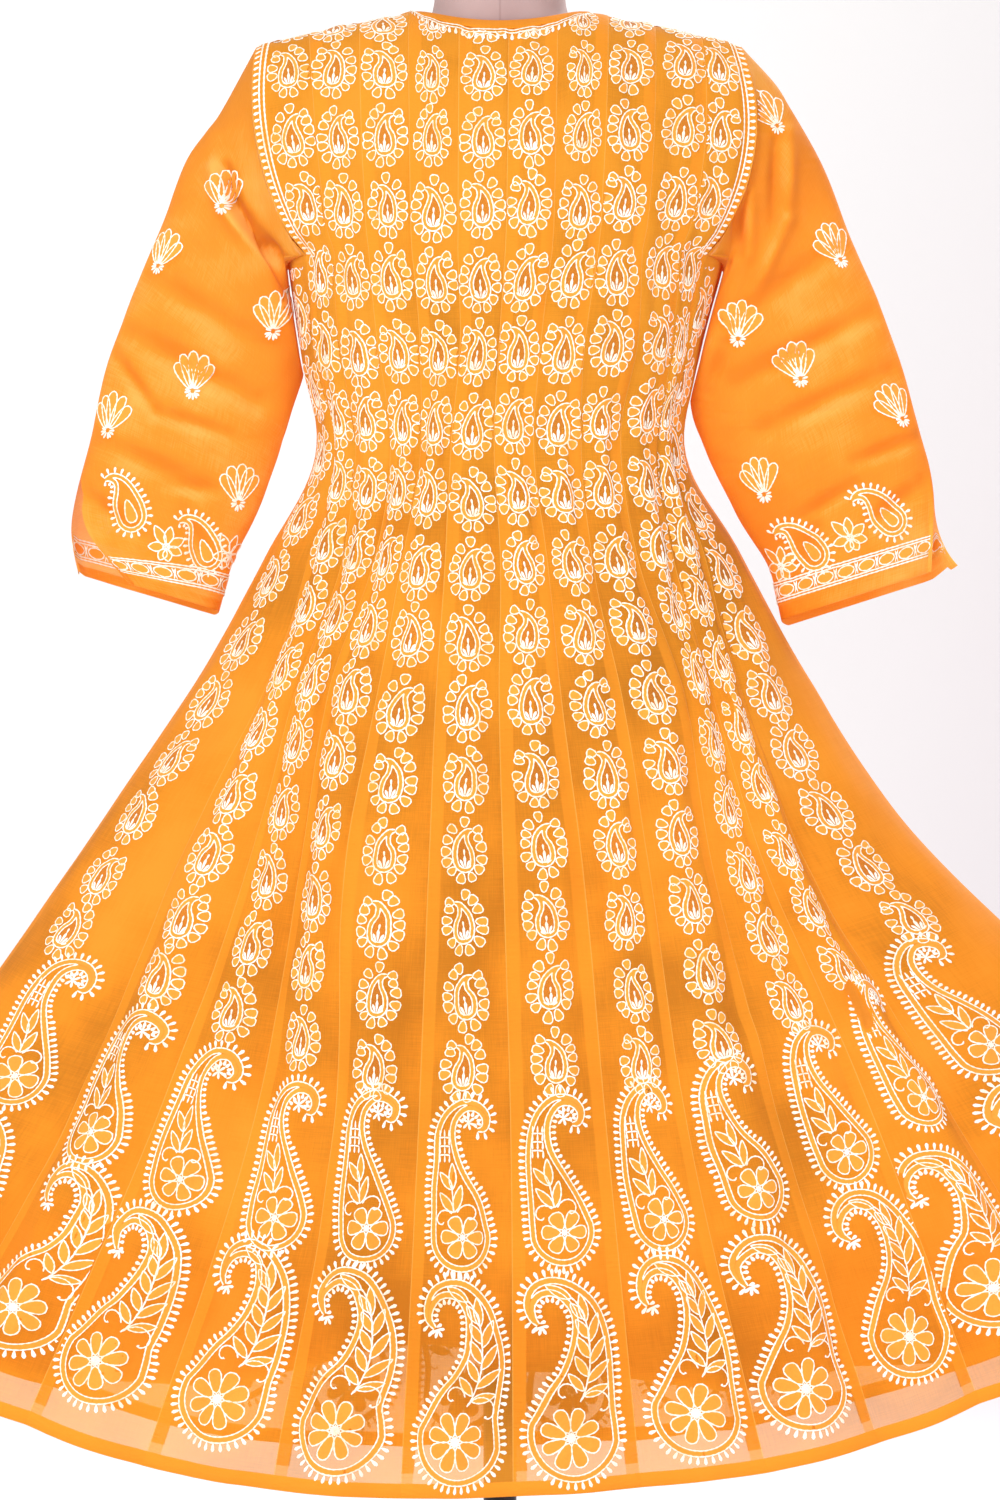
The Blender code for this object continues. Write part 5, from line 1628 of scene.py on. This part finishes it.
# A fan flower's petals and the grains below its foot: direction in degrees, length.
FAN_PETALS = ((-38, 24.0), (-20, 28.0), (-3, 29.0), (14, 28.0), (32, 24.0))
FAN_GRAINS = (
    (-75, 4.6), (-104, 5.0), (-132, 5.2), (-160, 5.4), (172, 5.4), (144, 5.2), (116, 5.0), (80, 4.6),
)
FAN_FOOT = np.array([0, 12.0])


def fan_chart(rng):
    """Five long petals that fan out of one foot, with short grains below it."""
    chart = Chart()
    for degrees, length in FAN_PETALS:
        out = towards(degrees + rng.normal(0, 1.5))
        start = FAN_FOOT + out * 2.6
        chart.loop(start, out, length + rng.normal(0, 0.5), rng.uniform(7.4, 8.8), rounded=0.3)
    for degrees, length in FAN_GRAINS:
        out = towards(degrees + rng.normal(0, 3))
        chart.grain(FAN_FOOT + out * 1.6, FAN_FOOT + out * (1.6 + length), 2.0)
    return chart.arrays()


def place_on_sleeve(out, sleeve, chart, middle, turn, front=False, inside=False):
    """Puts a motif on the sleeve's back or front, its middle at an X and Z of the unrolled sleeve."""
    x, y = rotated(chart[0], math.radians(turn))
    target = np.column_stack([middle[0] + x / 1000, middle[1] - y / 1000])
    rows, columns, found = sleeve.find(target)
    keep = found & (rows > TOP_MARGIN_ROWS) & (rows < SLEEVE_RINGS - 1.5)
    keep &= (columns > 0.3) | (rows < sleeve.slit_row)
    columns = np.mod(-columns if front else columns, SLEEVE_COLUMNS)
    out.add(sleeve, rows, columns, chart, keep, inside)


# The cuff's border: its lines above the edge, its ovals' length and height, and their pitch.
CUFF_LINES = (14.0, 16.2, 27.5, 29.7)
CUFF_OVAL = (13.4, 8.8)
CUFF_OVAL_PITCH = 17.0
# The ring on which the border's length is measured.
CUFF_LEVEL = SLEEVE_RINGS - 4


def cuff_chart(length):
    """A chain of flat ovals between two double lines, laid out round the cuff; y is up from the edge."""
    chart = Chart()
    line = np.column_stack([np.linspace(0, length, 60), np.zeros(60)])
    for height in CUFF_LINES:
        chart.thread(line + (0, height), 1.4)
    count = int(length / CUFF_OVAL_PITCH)
    middle = (CUFF_LINES[1] + CUFF_LINES[2]) / 2
    for index in range(count):
        x = (index + 0.5) * length / count
        chart.oval((x, middle), *CUFF_OVAL)
        joint = x + length / count / 2
        for rise in (-1, 1):
            chart.grain((joint - 1.2 * rise, middle - 4.6), (joint + 1.2 * rise, middle + 4.6), 1.5)
    return chart.arrays()


PAISLEY_SCALE = 1.75
CUFF_SPINE = (
    (0.0, 6.5, 7.5), (0.4, 1.0, 7.2), (1.2, -5.5, 5.0), (0.4, -10.5, 3.0), (-2.6, -13.4, 1.8),
    (-6.0, -13.6, 0.7),
)


def cuff_paisley_chart():
    """A paisley with a double outline and one long loop inside."""
    chart = Chart()
    outer = paisley_body(chart, np.array(CUFF_SPINE) * PAISLEY_SCALE, 3.4, 1.4, steps=22)
    spikes(chart, outer, 5.2, 4.8, 2.4, 3.4)
    chart.loop((0.2, 17.0), (0.06, -1), 19.0, 8.2, rounded=-0.5)
    return chart.arrays()


FLOWER_PETALS = ((-38, 18.0), (8, 15.0), (58, 14.0), (106, 12.0), (158, 10.0), (-158, 10.0), (-100, 13.0))


def cuff_flower_chart(rng):
    """A flower of pointed petals, the upper ones longest."""
    chart = Chart()
    for degrees, length in FLOWER_PETALS:
        out = towards(degrees + rng.normal(0, 3))
        chart.leaf(out * 1.8, out * (1.8 + length), 7.6)
        chart.grain(out * 0.4, out * 3.4, 1.6)
    return chart.arrays()


def place_band(out, sleeve, chart, inside=False):
    """Wraps a flat border round the sleeve, measured up from the cuff's edge."""
    x, y = chart[0][:, :2].T / 1000
    columns = np.interp(x, sleeve.gone_round[CUFF_LEVEL], np.arange(SLEEVE_COLUMNS + 1.0))
    keep = (columns > 0.2) & (columns < SLEEVE_COLUMNS - 0.2)
    out.add(sleeve, sleeve.up_from_cuff(columns, y), columns, chart, keep, inside)


def embroider_sleeve(sleeve, name, materials, seed):
    """All the motifs of a sleeve; those of the front's cuff also show on its inside."""
    rng = np.random.default_rng(seed)
    out = Embroidery()
    for x, z, turn in FANS_LEFT if sleeve.side < 0 else FANS_RIGHT:
        for front in (False, True):
            place_on_sleeve(out, sleeve, fan_chart(rng), (x, z), turn + rng.normal(0, 2), front)
    for x, z, turn, flowery in CUFF_LEFT if sleeve.side < 0 else CUFF_RIGHT:
        for front in (False, True):
            chart = cuff_flower_chart(rng) if flowery else cuff_paisley_chart()
            place_on_sleeve(out, sleeve, chart, (x, z), turn + rng.normal(0, 2), front)
            if front:
                place_on_sleeve(out, sleeve, chart, (x, z), turn, front, inside=True)
    border = cuff_chart(sleeve.gone_round[CUFF_LEVEL, -1] * 1000)
    for inside in (False, True):
        place_band(out, sleeve, border, inside)
    return out.build(name, materials)


# The neckline's two stitch lines and the row of grains below them, in millimetres down from its edge.
NECK_LINES = (2.4, 6.4)
NECK_GRAINS = (7.6, 15.4)


def embroider_neck(panels, name, materials):
    """Two stitch lines and a row of hanging grains round the neckline."""
    out = Embroidery()
    for panel in panels:
        seams = np.linspace(0, corner_seam(panel.side, NECK_WIDTH_GORES), 60)
        lengths = lengths_along(panel.at(np.zeros(60), panel.column_of(seams), np.zeros(60))) * 1000
        chart = Chart()
        line = np.column_stack([lengths, np.zeros(60)])
        for inset in NECK_LINES:
            chart.thread(line + (0, inset), EDGE_THREAD)
        for x in np.arange(3.0, lengths[-1] - 1.0, 5.9):
            chart.grain((x, NECK_GRAINS[0]), (x, NECK_GRAINS[1]), 3.0)
        chart = chart.arrays()
        seam = np.interp(chart[0][:, 0], lengths, seams)
        out.add(panel, panel.below_top(seam, chart[0][:, 1] / 1000), panel.column_of(seam), chart)
    return out.build(name, materials)


# ---------------------------------------------------------------- materials

def node(tree, kind, inputs=None, **settings):
    made = tree.nodes.new(kind)
    for key, value in settings.items():
        setattr(made, key, value)
    for key, value in (inputs or {}).items():
        if isinstance(value, bpy.types.NodeSocket):
            tree.links.new(value, made.inputs[key])
        else:
            made.inputs[key].default_value = value
    return made


def calc(tree, operation, *values):
    """The result of a math node."""
    return node(tree, "ShaderNodeMath", dict(enumerate(values)), operation=operation).outputs[0]


def noise(tree, place, scale, detail, **inputs):
    """A cloudy pattern over the places given."""
    inputs = {"Vector": place, "Scale": scale, "Detail": detail, **inputs}
    return node(tree, "ShaderNodeTexNoise", inputs).outputs["Fac"]


def streaks(tree, place, scale, detail, turn=0.0, **inputs):
    """The same pattern, scaled for each axis after a turn about Y."""
    inputs_of_map = {"Vector": place, "Rotation": (0.0, turn, 0.0), "Scale": scale}
    stretched = node(tree, "ShaderNodeMapping", inputs_of_map).outputs["Vector"]
    return noise(tree, stretched, 1.0, detail, **inputs)


def colour_ramp(tree, value, *stops):
    made = node(tree, "ShaderNodeValToRGB", {"Fac": value})
    elements = made.color_ramp.elements
    while len(elements) < len(stops):
        elements.new(0.5)
    for element, (place, colour) in zip(elements, stops):
        element.position = place
        element.color = (*colour, 1)
    return made.outputs["Color"]


def fade(tree, value, start, end, first=1.0, last=0.0):
    """A value that runs from first to last while another runs from start to end."""
    inputs = {"Value": value, "From Min": start, "From Max": end, "To Min": first, "To Max": last}
    return node(tree, "ShaderNodeMapRange", inputs).outputs[0]


def mixed_colour(tree, share, first, second):
    inputs = {"Factor": share, "A": first, "B": (*second, 1.0)}
    return node(tree, "ShaderNodeMix", inputs, data_type="RGBA").outputs["Result"]


def bumped(tree, strength, distance, height):
    inputs = {"Strength": strength, "Distance": distance, "Height": height}
    return node(tree, "ShaderNodeBump", inputs).outputs["Normal"]


class Look:
    """A material with its node tree, and the object's own places for patterns."""

    def __init__(self, name):
        self.material = bpy.data.materials.new(name)
        self.material.use_nodes = True
        self.tree = self.material.node_tree
        self.shader = self.tree.nodes["Principled BSDF"]
        self.place = node(self.tree, "ShaderNodeTexCoord").outputs["Object"]

    def set(self, inputs):
        """Sets or links the shader's inputs, and returns the material."""
        for key, value in inputs.items():
            if isinstance(value, bpy.types.NodeSocket):
                self.tree.links.new(value, self.shader.inputs[key])
            else:
                self.shader.inputs[key].default_value = value
        return self.material


# Each cloth: its three tones from dark to light, how much of what is behind it shows through above and
# below the lining's edge, how much light comes through it there, its wrinkles' height, how much painted
# light lightens it above the waist, and how strong its folds' painted light and dark are.
CLOTHS = {
    "georgette": {
        "tones": ((0.68, 0.250, 0.012), (0.93, 0.355, 0.018), (1.0, 0.41, 0.030)),
        "clear": (0.08, 0.30), "glow": (0.30, 0.30), "wrinkles": 4.0, "painted_top_light": 0.10,
    },
    # The front's copy is painted lighter: its inside, seen through the back's hem, lies in shade. It also
    # lets more through and glows more.
    "front_georgette_painted_light": {
        "tones": ((0.78, 0.27, 0.014), (0.95, 0.36, 0.020), (1.0, 0.43, 0.035)),
        "clear": (0.08, 0.45), "glow": (0.30, 0.52), "wrinkles": 4.0, "painted_top_light": 0.10,
    },
    # Its lightest tone is yellower, for the painted highlights of the sleeve's folds.
    "sleeve_georgette": {
        "tones": ((0.88, 0.29, 0.014), (0.96, 0.36, 0.024), (1.0, 0.55, 0.110)),
        "clear": (0.10, 0.10), "glow": (0.32, 0.32), "wrinkles": 16.0, "folds": 0.30,
    },
    "lining": {
        "tones": ((0.80, 0.26, 0.014), (0.90, 0.31, 0.020), (0.95, 0.36, 0.035)),
        "clear": (0.0, 0.0), "glow": (0.30, 0.30), "wrinkles": 2.0,
    },
}
TONE_PLACES = (0.24, 0.48, 0.70)
# The weave's threads to a metre, across and along each, and how much they show.
THREAD_ACROSS, THREAD_ALONG = 1100.0, 45.0
THREAD_TONE = 0.22
THREAD_HEIGHT = 0.25
# The ground is painted darker near the middle of the skirt, a painted shade where the most cloth lies
# behind it: metres off the middle's X with the tones there, and the heights between which the skirt ends
# and the top begins, where painted light lightens the ground.
SKIRT_MIDDLE = 0.02
PAINTED_SHADE_MIDDLE = (0.06, 0.26, -0.13, 0.0)
SKIRT_END = (1.00, 1.14)
TOP_START = (1.02, 1.16)
# Cloth over a seam allowance or the hem is doubled, and a line of light catches the seam itself:
# metres from the seam with the shares of the colour there, and the colour.
DOUBLED = (0.0108, 0.0124, 0.62, 0.0), (1.0, 0.395, 0.024)
SEAM_LIGHT = (0.0004, 0.0011, 0.55, 0.0), (1.0, 0.58, 0.13)
HEM_COLOUR = (1.0, 0.41, 0.028)
HEM_BLUR = 0.0004
# Puckers run across the seams and fade out away from them; wrinkles lie across the drop.
PUCKER_REACH = (0.001, 0.020)
PUCKER_SCALE = (60.0, 330.0, 1.0)
PUCKER_HEIGHT = 2.6
WRINKLE_SCALE = (9.0, 9.0, 26.0)
WRINKLE_TURN = 0.45
# Below the lining the cloth looks much sheerer: drops, its share where doubled and where turned up.
LINING_END = (0.64, 0.715)
CLEAR_DOUBLED = (0.0112, 0.0122, 0.45, 1.0)
CLEAR_TURNED = (0.0, 1.0, 1.0, 0.1)
CLEAR_TINT = (1.0, 0.93, 0.84, 1.0)


def cloth_tone(look, tones, threads, from_seam, painted_top_light, folds):
    """The ground's colour before seams and hem, with the painted shade and light added to it."""
    tree = look.tree
    sides = node(tree, "ShaderNodeSeparateXYZ", {"Vector": look.place}).outputs
    # Painted shade near the skirt's middle, and painted light on the top, set by place.
    off_middle = calc(tree, "ABSOLUTE", calc(tree, "ADD", sides["X"], -SKIRT_MIDDLE))
    painted_shading = fade(tree, off_middle, *PAINTED_SHADE_MIDDLE)
    painted_shading = calc(tree, "MULTIPLY", painted_shading, fade(tree, sides["Z"], *SKIRT_END))
    painted_shading = calc(tree, "ADD", painted_shading, fade(tree, sides["Z"], *TOP_START, 0.0, painted_top_light))
    # On a sleeve, the painted light and dark of its folds, carried in the distance from a seam.
    if folds:
        reach = 2 * TONE_REACH
        tone = fade(tree, from_seam, FAR_FROM_SEAM - reach, FAR_FROM_SEAM + reach, -2 * folds, 2 * folds)
        painted_shading = calc(tree, "ADD", painted_shading, tone)
    cloud = calc(tree, "MULTIPLY_ADD", noise(tree, look.place, 7.0, 3.0, Roughness=0.55), 1.25, -0.125)
    value = calc(tree, "MULTIPLY_ADD", calc(tree, "ADD", threads, -1.0), THREAD_TONE, cloud)
    return colour_ramp(tree, calc(tree, "ADD", value, painted_shading), *zip(TONE_PLACES, tones))


def cloth_material(name, tones, clear, glow, wrinkles, painted_top_light=0.0, folds=0.0):
    """Fine woven cotton that lets some light and some of what is behind it through."""
    look = Look(name)
    tree = look.tree
    weave = node(tree, "ShaderNodeUVMap", uv_map="weave").outputs["UV"]
    edge = node(tree, "ShaderNodeUVMap", uv_map="seam").outputs["UV"]
    parts = node(tree, "ShaderNodeSeparateXYZ", {"Vector": edge}).outputs
    from_seam, drop = parts["X"], parts["Y"]
    warp = streaks(tree, weave, (THREAD_ACROSS, THREAD_ALONG, 1.0), 2.0)
    weft = streaks(tree, weave, (THREAD_ALONG, THREAD_ACROSS, 1.0), 2.0)
    threads = calc(tree, "ADD", warp, weft)
    base = cloth_tone(look, tones, threads, from_seam, painted_top_light, folds)
    for reach, colour in (DOUBLED, SEAM_LIGHT):
        base = mixed_colour(tree, fade(tree, from_seam, *reach), base, colour)
    hem = SKIRT_LENGTH - HEM_TURN
    turned = fade(tree, drop, hem - HEM_BLUR, hem, 0.0, 1.0 if clear[1] else 0.0)
    base = mixed_colour(tree, turned, base, HEM_COLOUR)
    pucker = streaks(tree, edge, PUCKER_SCALE, 1.0)
    pucker = calc(tree, "MULTIPLY", pucker, fade(tree, from_seam, *PUCKER_REACH))
    height = calc(tree, "MULTIPLY", threads, THREAD_HEIGHT)
    height = calc(tree, "MULTIPLY_ADD", pucker, PUCKER_HEIGHT, height)
    wrinkle = streaks(tree, look.place, WRINKLE_SCALE, 2.0, WRINKLE_TURN, Distortion=0.8)
    height = calc(tree, "MULTIPLY_ADD", wrinkle, wrinkles, height)
    bump = bumped(tree, 0.55, 0.0006, height)
    look.set({
        "Base Color": base, "Roughness": 0.78, "Sheen Weight": 0.08, "Sheen Roughness": 0.45,
        "Specular IOR Level": 0.25, "Alpha": 1.0, "Normal": bump,
    })
    through = node(tree, "ShaderNodeBsdfTranslucent", {"Color": base, "Normal": bump}).outputs[0]
    mix = {0: fade(tree, drop, *LINING_END, *glow), 1: look.shader.outputs[0], 2: through}
    lit = node(tree, "ShaderNodeMixShader", mix).outputs[0]
    if clear[1] > 0:
        share = fade(tree, drop, *LINING_END, *clear)
        share = calc(tree, "MULTIPLY", share, fade(tree, from_seam, *CLEAR_DOUBLED))
        share = calc(tree, "MULTIPLY", share, fade(tree, turned, *CLEAR_TURNED))
        empty = node(tree, "ShaderNodeBsdfTransparent", {"Color": CLEAR_TINT}).outputs[0]
        lit = node(tree, "ShaderNodeMixShader", {0: share, 1: lit, 2: empty}).outputs[0]
    tree.links.new(lit, tree.nodes["Material Output"].inputs["Surface"])
    return look.material


def thread_material():
    """Cream cotton strands."""
    look = Look("white_thread")
    tree = look.tree
    strand = noise(tree, look.place, 900.0, 1.0)
    mixed = calc(tree, "MULTIPLY_ADD", strand, 0.4, noise(tree, look.place, 45.0, 2.0))
    cream = (0.45, (0.86, 0.72, 0.52)), (0.62, (0.94, 0.88, 0.74)), (0.85, (0.98, 0.95, 0.87))
    return look.set({
        "Base Color": colour_ramp(tree, mixed, *cream), "Roughness": 0.6, "Sheen Weight": 0.15,
        "Normal": bumped(tree, 0.4, 0.0003, strand),
    })


def patch_material(name, dark, light, alpha=1.0):
    """Cloth seen between close stitches: more solid than the ground around it."""
    look = Look(name)
    tree = look.tree
    fine = noise(tree, look.place, 420.0, 2.0)
    mixed = calc(tree, "MULTIPLY_ADD", fine, 0.5, noise(tree, look.place, 24.0, 2.0))
    return look.set({
        "Base Color": colour_ramp(tree, mixed, (0.50, dark), (0.95, light)), "Alpha": alpha,
        "Roughness": 0.8, "Sheen Weight": 0.2, "Normal": bumped(tree, 0.4, 0.0004, fine),
    })


def jersey_material():
    """The dress form's smooth cover, with a faint seam down the middle."""
    look = Look("form_jersey")
    tree = look.tree
    cloud = noise(tree, look.place, 12.0, 3.0)
    base = colour_ramp(tree, cloud, (0.35, (0.395, 0.267, 0.260)), (0.65, (0.486, 0.348, 0.340)))
    sides = node(tree, "ShaderNodeSeparateXYZ", {"Vector": look.place}).outputs
    seam = fade(tree, calc(tree, "ABSOLUTE", sides["X"]), 0.0003, 0.0012, 0.35, 0.0)
    return look.set({
        "Base Color": mixed_colour(tree, seam, base, (0.22, 0.13, 0.125)), "Roughness": 0.85,
        "Sheen Weight": 0.3, "Normal": bumped(tree, 0.3, 0.0003, noise(tree, look.place, 1100.0, 1.0)),
    })


def metal_material():
    """The stand's satin black paint."""
    look = Look("satin_black")
    tree = look.tree
    grain = noise(tree, look.place, 260.0, 3.0)
    return look.set({
        "Base Color": colour_ramp(tree, grain, (0.3, (0.012, 0.012, 0.013)), (0.7, (0.028, 0.028, 0.030))),
        "Roughness": fade(tree, grain, 0.0, 1.0, 0.30, 0.42), "Metallic": 0.6,
        "Normal": bumped(tree, 0.15, 0.0003, grain),
    })


# The paper's painted shade, greyer and pinker towards the lower right, runs along slanting lines of the
# picture: their slant, its range and its tones.
PAPER_SLANT = 0.5
PAPER_RANGE = (-0.0083, 0.1417, 0.0, 1.0)
PAPER_PAINTED_SHADE = (0.0, (0.93, 0.93, 0.93)), (0.45, (0.93, 0.90, 0.915)), (1.0, (0.86, 0.79, 0.83))


def backdrop_material():
    """Studio paper with painted shade, the same at one place of the picture however far behind the gown."""
    look = Look("studio_paper")
    tree = look.tree
    parts = node(tree, "ShaderNodeSeparateXYZ", {"Vector": look.place}).outputs
    slope = calc(tree, "MULTIPLY_ADD", parts["Z"], -PAPER_SLANT, parts["X"])
    slope = calc(tree, "ADD", slope, PAPER_SLANT * CAMERA_HEIGHT)
    slope = calc(tree, "DIVIDE", slope, calc(tree, "ADD", parts["Y"], CAMERA_DISTANCE))
    base = colour_ramp(tree, fade(tree, slope, *PAPER_RANGE), *PAPER_PAINTED_SHADE)
    return look.set({"Base Color": base, "Roughness": 0.95})


# ---------------------------------------------------------------- dress form and stand

def build_form(source, material):
    """The dress form with its facets smoothed out."""
    mesh = source.data.copy()
    mesh.materials.clear()
    mesh.materials.append(material)
    obj = bpy.data.objects.new("dress_form", mesh)
    bpy.context.scene.collection.objects.link(obj)
    weld = obj.modifiers.new("weld", "WELD")
    weld.merge_threshold = 0.00005
    smooth = obj.modifiers.new("smooth", "SUBSURF")
    smooth.levels = smooth.render_levels = 2
    mesh.shade_smooth()
    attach(obj, "root")
    return obj


def lathe(name, profile, material, turns=96):
    """A turned piece: profile is a list of (radius, height) from its foot to its top."""
    angle = 2 * math.pi * np.arange(turns) / turns
    rings = [np.column_stack([r * np.cos(angle), r * np.sin(angle), np.full(turns, z)]) for r, z in profile]
    quads = quads_of(len(profile), turns, closed=True)[:, ::-1]
    return new_object(name, np.concatenate(rings), quads, [material])


# ---------------------------------------------------------------- picture

PICTURE_HEIGHT = 1500
CAMERA_DISTANCE = 5.0
CAMERA_HEIGHT = 0.8676
CAMERA_PLANE = 4.92
METRES_PER_PIXEL = 0.0008
SENSOR = 36.0
# The paper: Y of its floor, of the curve's start, the curve's radius, the wall's top, half its width,
# and how far it lies below the floor's height.
PAPER_FLOOR = (-15.0, -3.0)
PAPER_CURVE = 13.0
PAPER_RADIUS = 1.5
PAPER_TOP = 6.0
PAPER_SIDE = 15.0
PAPER_SINK = 0.0005
# Lights: name, place, what they point at, size, power, colour.
LIGHTS = (
    ("key", (-2.4, -4.2, 3.2), (0, 0, 0.9), 2.2, 150, (1.0, 0.98, 0.95)),
    ("fill", (3.0, -3.6, 1.6), (0, 0, 0.8), 2.4, 45, (1.0, 0.96, 0.98)),
    ("back", (1.4, 2.4, 2.9), (0, 0.1, 0.9), 1.8, 70, (1, 1, 1)),
    ("paper", (-1.6, 10.2, 4.4), (-0.3, 14.5, 1.4), 1.6, 90, (1, 1, 1)),
)
WORLD_COLOUR = (1.0, 0.985, 0.97, 1)
WORLD_STRENGTH = 0.75


def make_camera():
    data = bpy.data.cameras.new("camera")
    data.lens = SENSOR * CAMERA_PLANE / (PICTURE_HEIGHT * METRES_PER_PIXEL)
    data.sensor_width = SENSOR
    data.clip_start, data.clip_end = 0.1, 60
    obj = bpy.data.objects.new("camera", data)
    obj.location = (0, -CAMERA_DISTANCE, CAMERA_HEIGHT)
    obj.rotation_euler = (math.pi / 2, 0, 0)
    bpy.context.scene.collection.objects.link(obj)
    bpy.context.scene.camera = obj


def area_light(name, place, target, size, power, colour):
    data = bpy.data.lights.new(name, "AREA")
    data.shape = "DISK"
    data.size = size
    data.energy = power
    data.color = colour
    obj = bpy.data.objects.new(name, data)
    obj.location = place
    away = Vector(target) - Vector(place)
    obj.rotation_euler = away.to_track_quat("-Z", "Y").to_euler()
    bpy.context.scene.collection.objects.link(obj)


def make_backdrop(material):
    """A paper sweep: floor, curve and wall."""
    turn = np.linspace(0, QUARTER_TURN, 14)
    y = np.concatenate([PAPER_FLOOR, PAPER_CURVE + PAPER_RADIUS * np.sin(turn), [PAPER_CURVE + PAPER_RADIUS]])
    z = np.concatenate([[0.0, 0.0], PAPER_RADIUS - PAPER_RADIUS * np.cos(turn), [PAPER_TOP]])
    points = [(x, b, c - PAPER_SINK) for b, c in zip(y, z) for x in (-PAPER_SIDE, PAPER_SIDE)]
    quads = quads_of(len(y), 2)[:, ::-1].tolist()
    mesh = bpy.data.meshes.new("backdrop")
    mesh.from_pydata(points, [], quads)
    mesh.shade_smooth()
    mesh.materials.append(material)
    obj = bpy.data.objects.new("backdrop", mesh)
    bpy.context.scene.collection.objects.link(obj)


def make_studio():
    bpy.context.scene.view_settings.view_transform = "Standard"
    world = bpy.data.worlds.new("studio")
    world.use_nodes = True
    background = world.node_tree.nodes["Background"].inputs
    background["Color"].default_value = WORLD_COLOUR
    background["Strength"].default_value = WORLD_STRENGTH
    bpy.context.scene.world = world
    for light in LIGHTS:
        area_light(*light)
    make_backdrop(backdrop_material())


def dress_quarter(side, side_name, face, face_name, cloth, lining, threads):
    """The gores, embroidery and lining of a quarter of the gown."""
    panel = Panel(side, face)
    for number in range(1, GORES + 1):
        name = f"gore_{face_name}_{side_name}{number}"
        obj = build_gore(panel, number, name + "_cloth", [cloth])
        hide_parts(name)
    stitches = embroider(panel, f"embroidery_{face_name}_{side_name}", threads, 11 + 5 * face + 2 * side)
    for part in range(GORES // LINING_GORES):
        name = f"lining_{face_name}_{side_name}{part + 1}"
        obj = build_lining(panel, part * LINING_GORES, name + "_cloth", [lining])
        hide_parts(name)
    return panel


def dress_sleeve(side, side_name, cloth, threads):
    sleeve = Sleeve(side)
    obj = build_sleeve(sleeve, f"sleeve_{side_name}_cloth", [cloth])
    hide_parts(f"sleeve_{side_name}")
    stitches = embroider_sleeve(sleeve, f"embroidery_sleeve_{side_name}", threads, 31 + side)


# The stand's base from its underside's middle to its top's: radius, height.
BASE_PROFILE = (
    (0.0, 0.0), (0.184, 0.0), (0.1885, 0.0015), (0.190, 0.005),
    (0.190, 0.013), (0.1885, 0.0165), (0.184, 0.018), (0.0, 0.018),
)


def pole_profile(top):
    """The pole from the base's socket up, with a small bevel at both ends."""
    return (
        (0.0, 0.0183), (0.0132, 0.0183), (0.0135, 0.019),
        (0.0135, top - 0.001), (0.0130, top), (0.0, top),
    )


def make_stand(metal):
    pole = lathe("pole", pole_profile(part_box("stand_pole")[1][2]), metal)
    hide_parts("stand_pole")
    base = lathe("base", BASE_PROFILE, metal, 128)
    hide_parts("stand_base")


def main():
    cloths = {name: cloth_material(name, **look) for name, look in CLOTHS.items()}
    threads = [
        thread_material(),
        patch_material("facing", (0.86, 0.28, 0.016), (0.93, 0.34, 0.026)),
        # The shade patch is painted shade on the ground inside the small paisleys' inner outline.
        patch_material("shade", (0.62, 0.21, 0.018), (0.74, 0.26, 0.026), 0.34),
    ]
    sides = ((LEFT, "l"), (RIGHT, "r"))
    panels = []
    for face, face_name, cloth in ((BACK, "back", "georgette"), (FRONT, "front", "front_georgette_painted_light")):
        for side, side_name in sides:
            given = cloths[cloth], cloths["lining"], threads
            panels.append(dress_quarter(side, side_name, face, face_name, *given))
    band = build_neck_band([cloths["georgette"]])
    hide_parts("neck_band")
    embroider_neck(panels, "embroidery_neck", threads)
    for side, side_name in sides:
        dress_sleeve(side, side_name, cloths["sleeve_georgette"], threads)
    form = build_form(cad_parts["form_torso"], jersey_material())
    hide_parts("form_torso")
    make_stand(metal_material())
    make_camera()
    make_studio()


main()
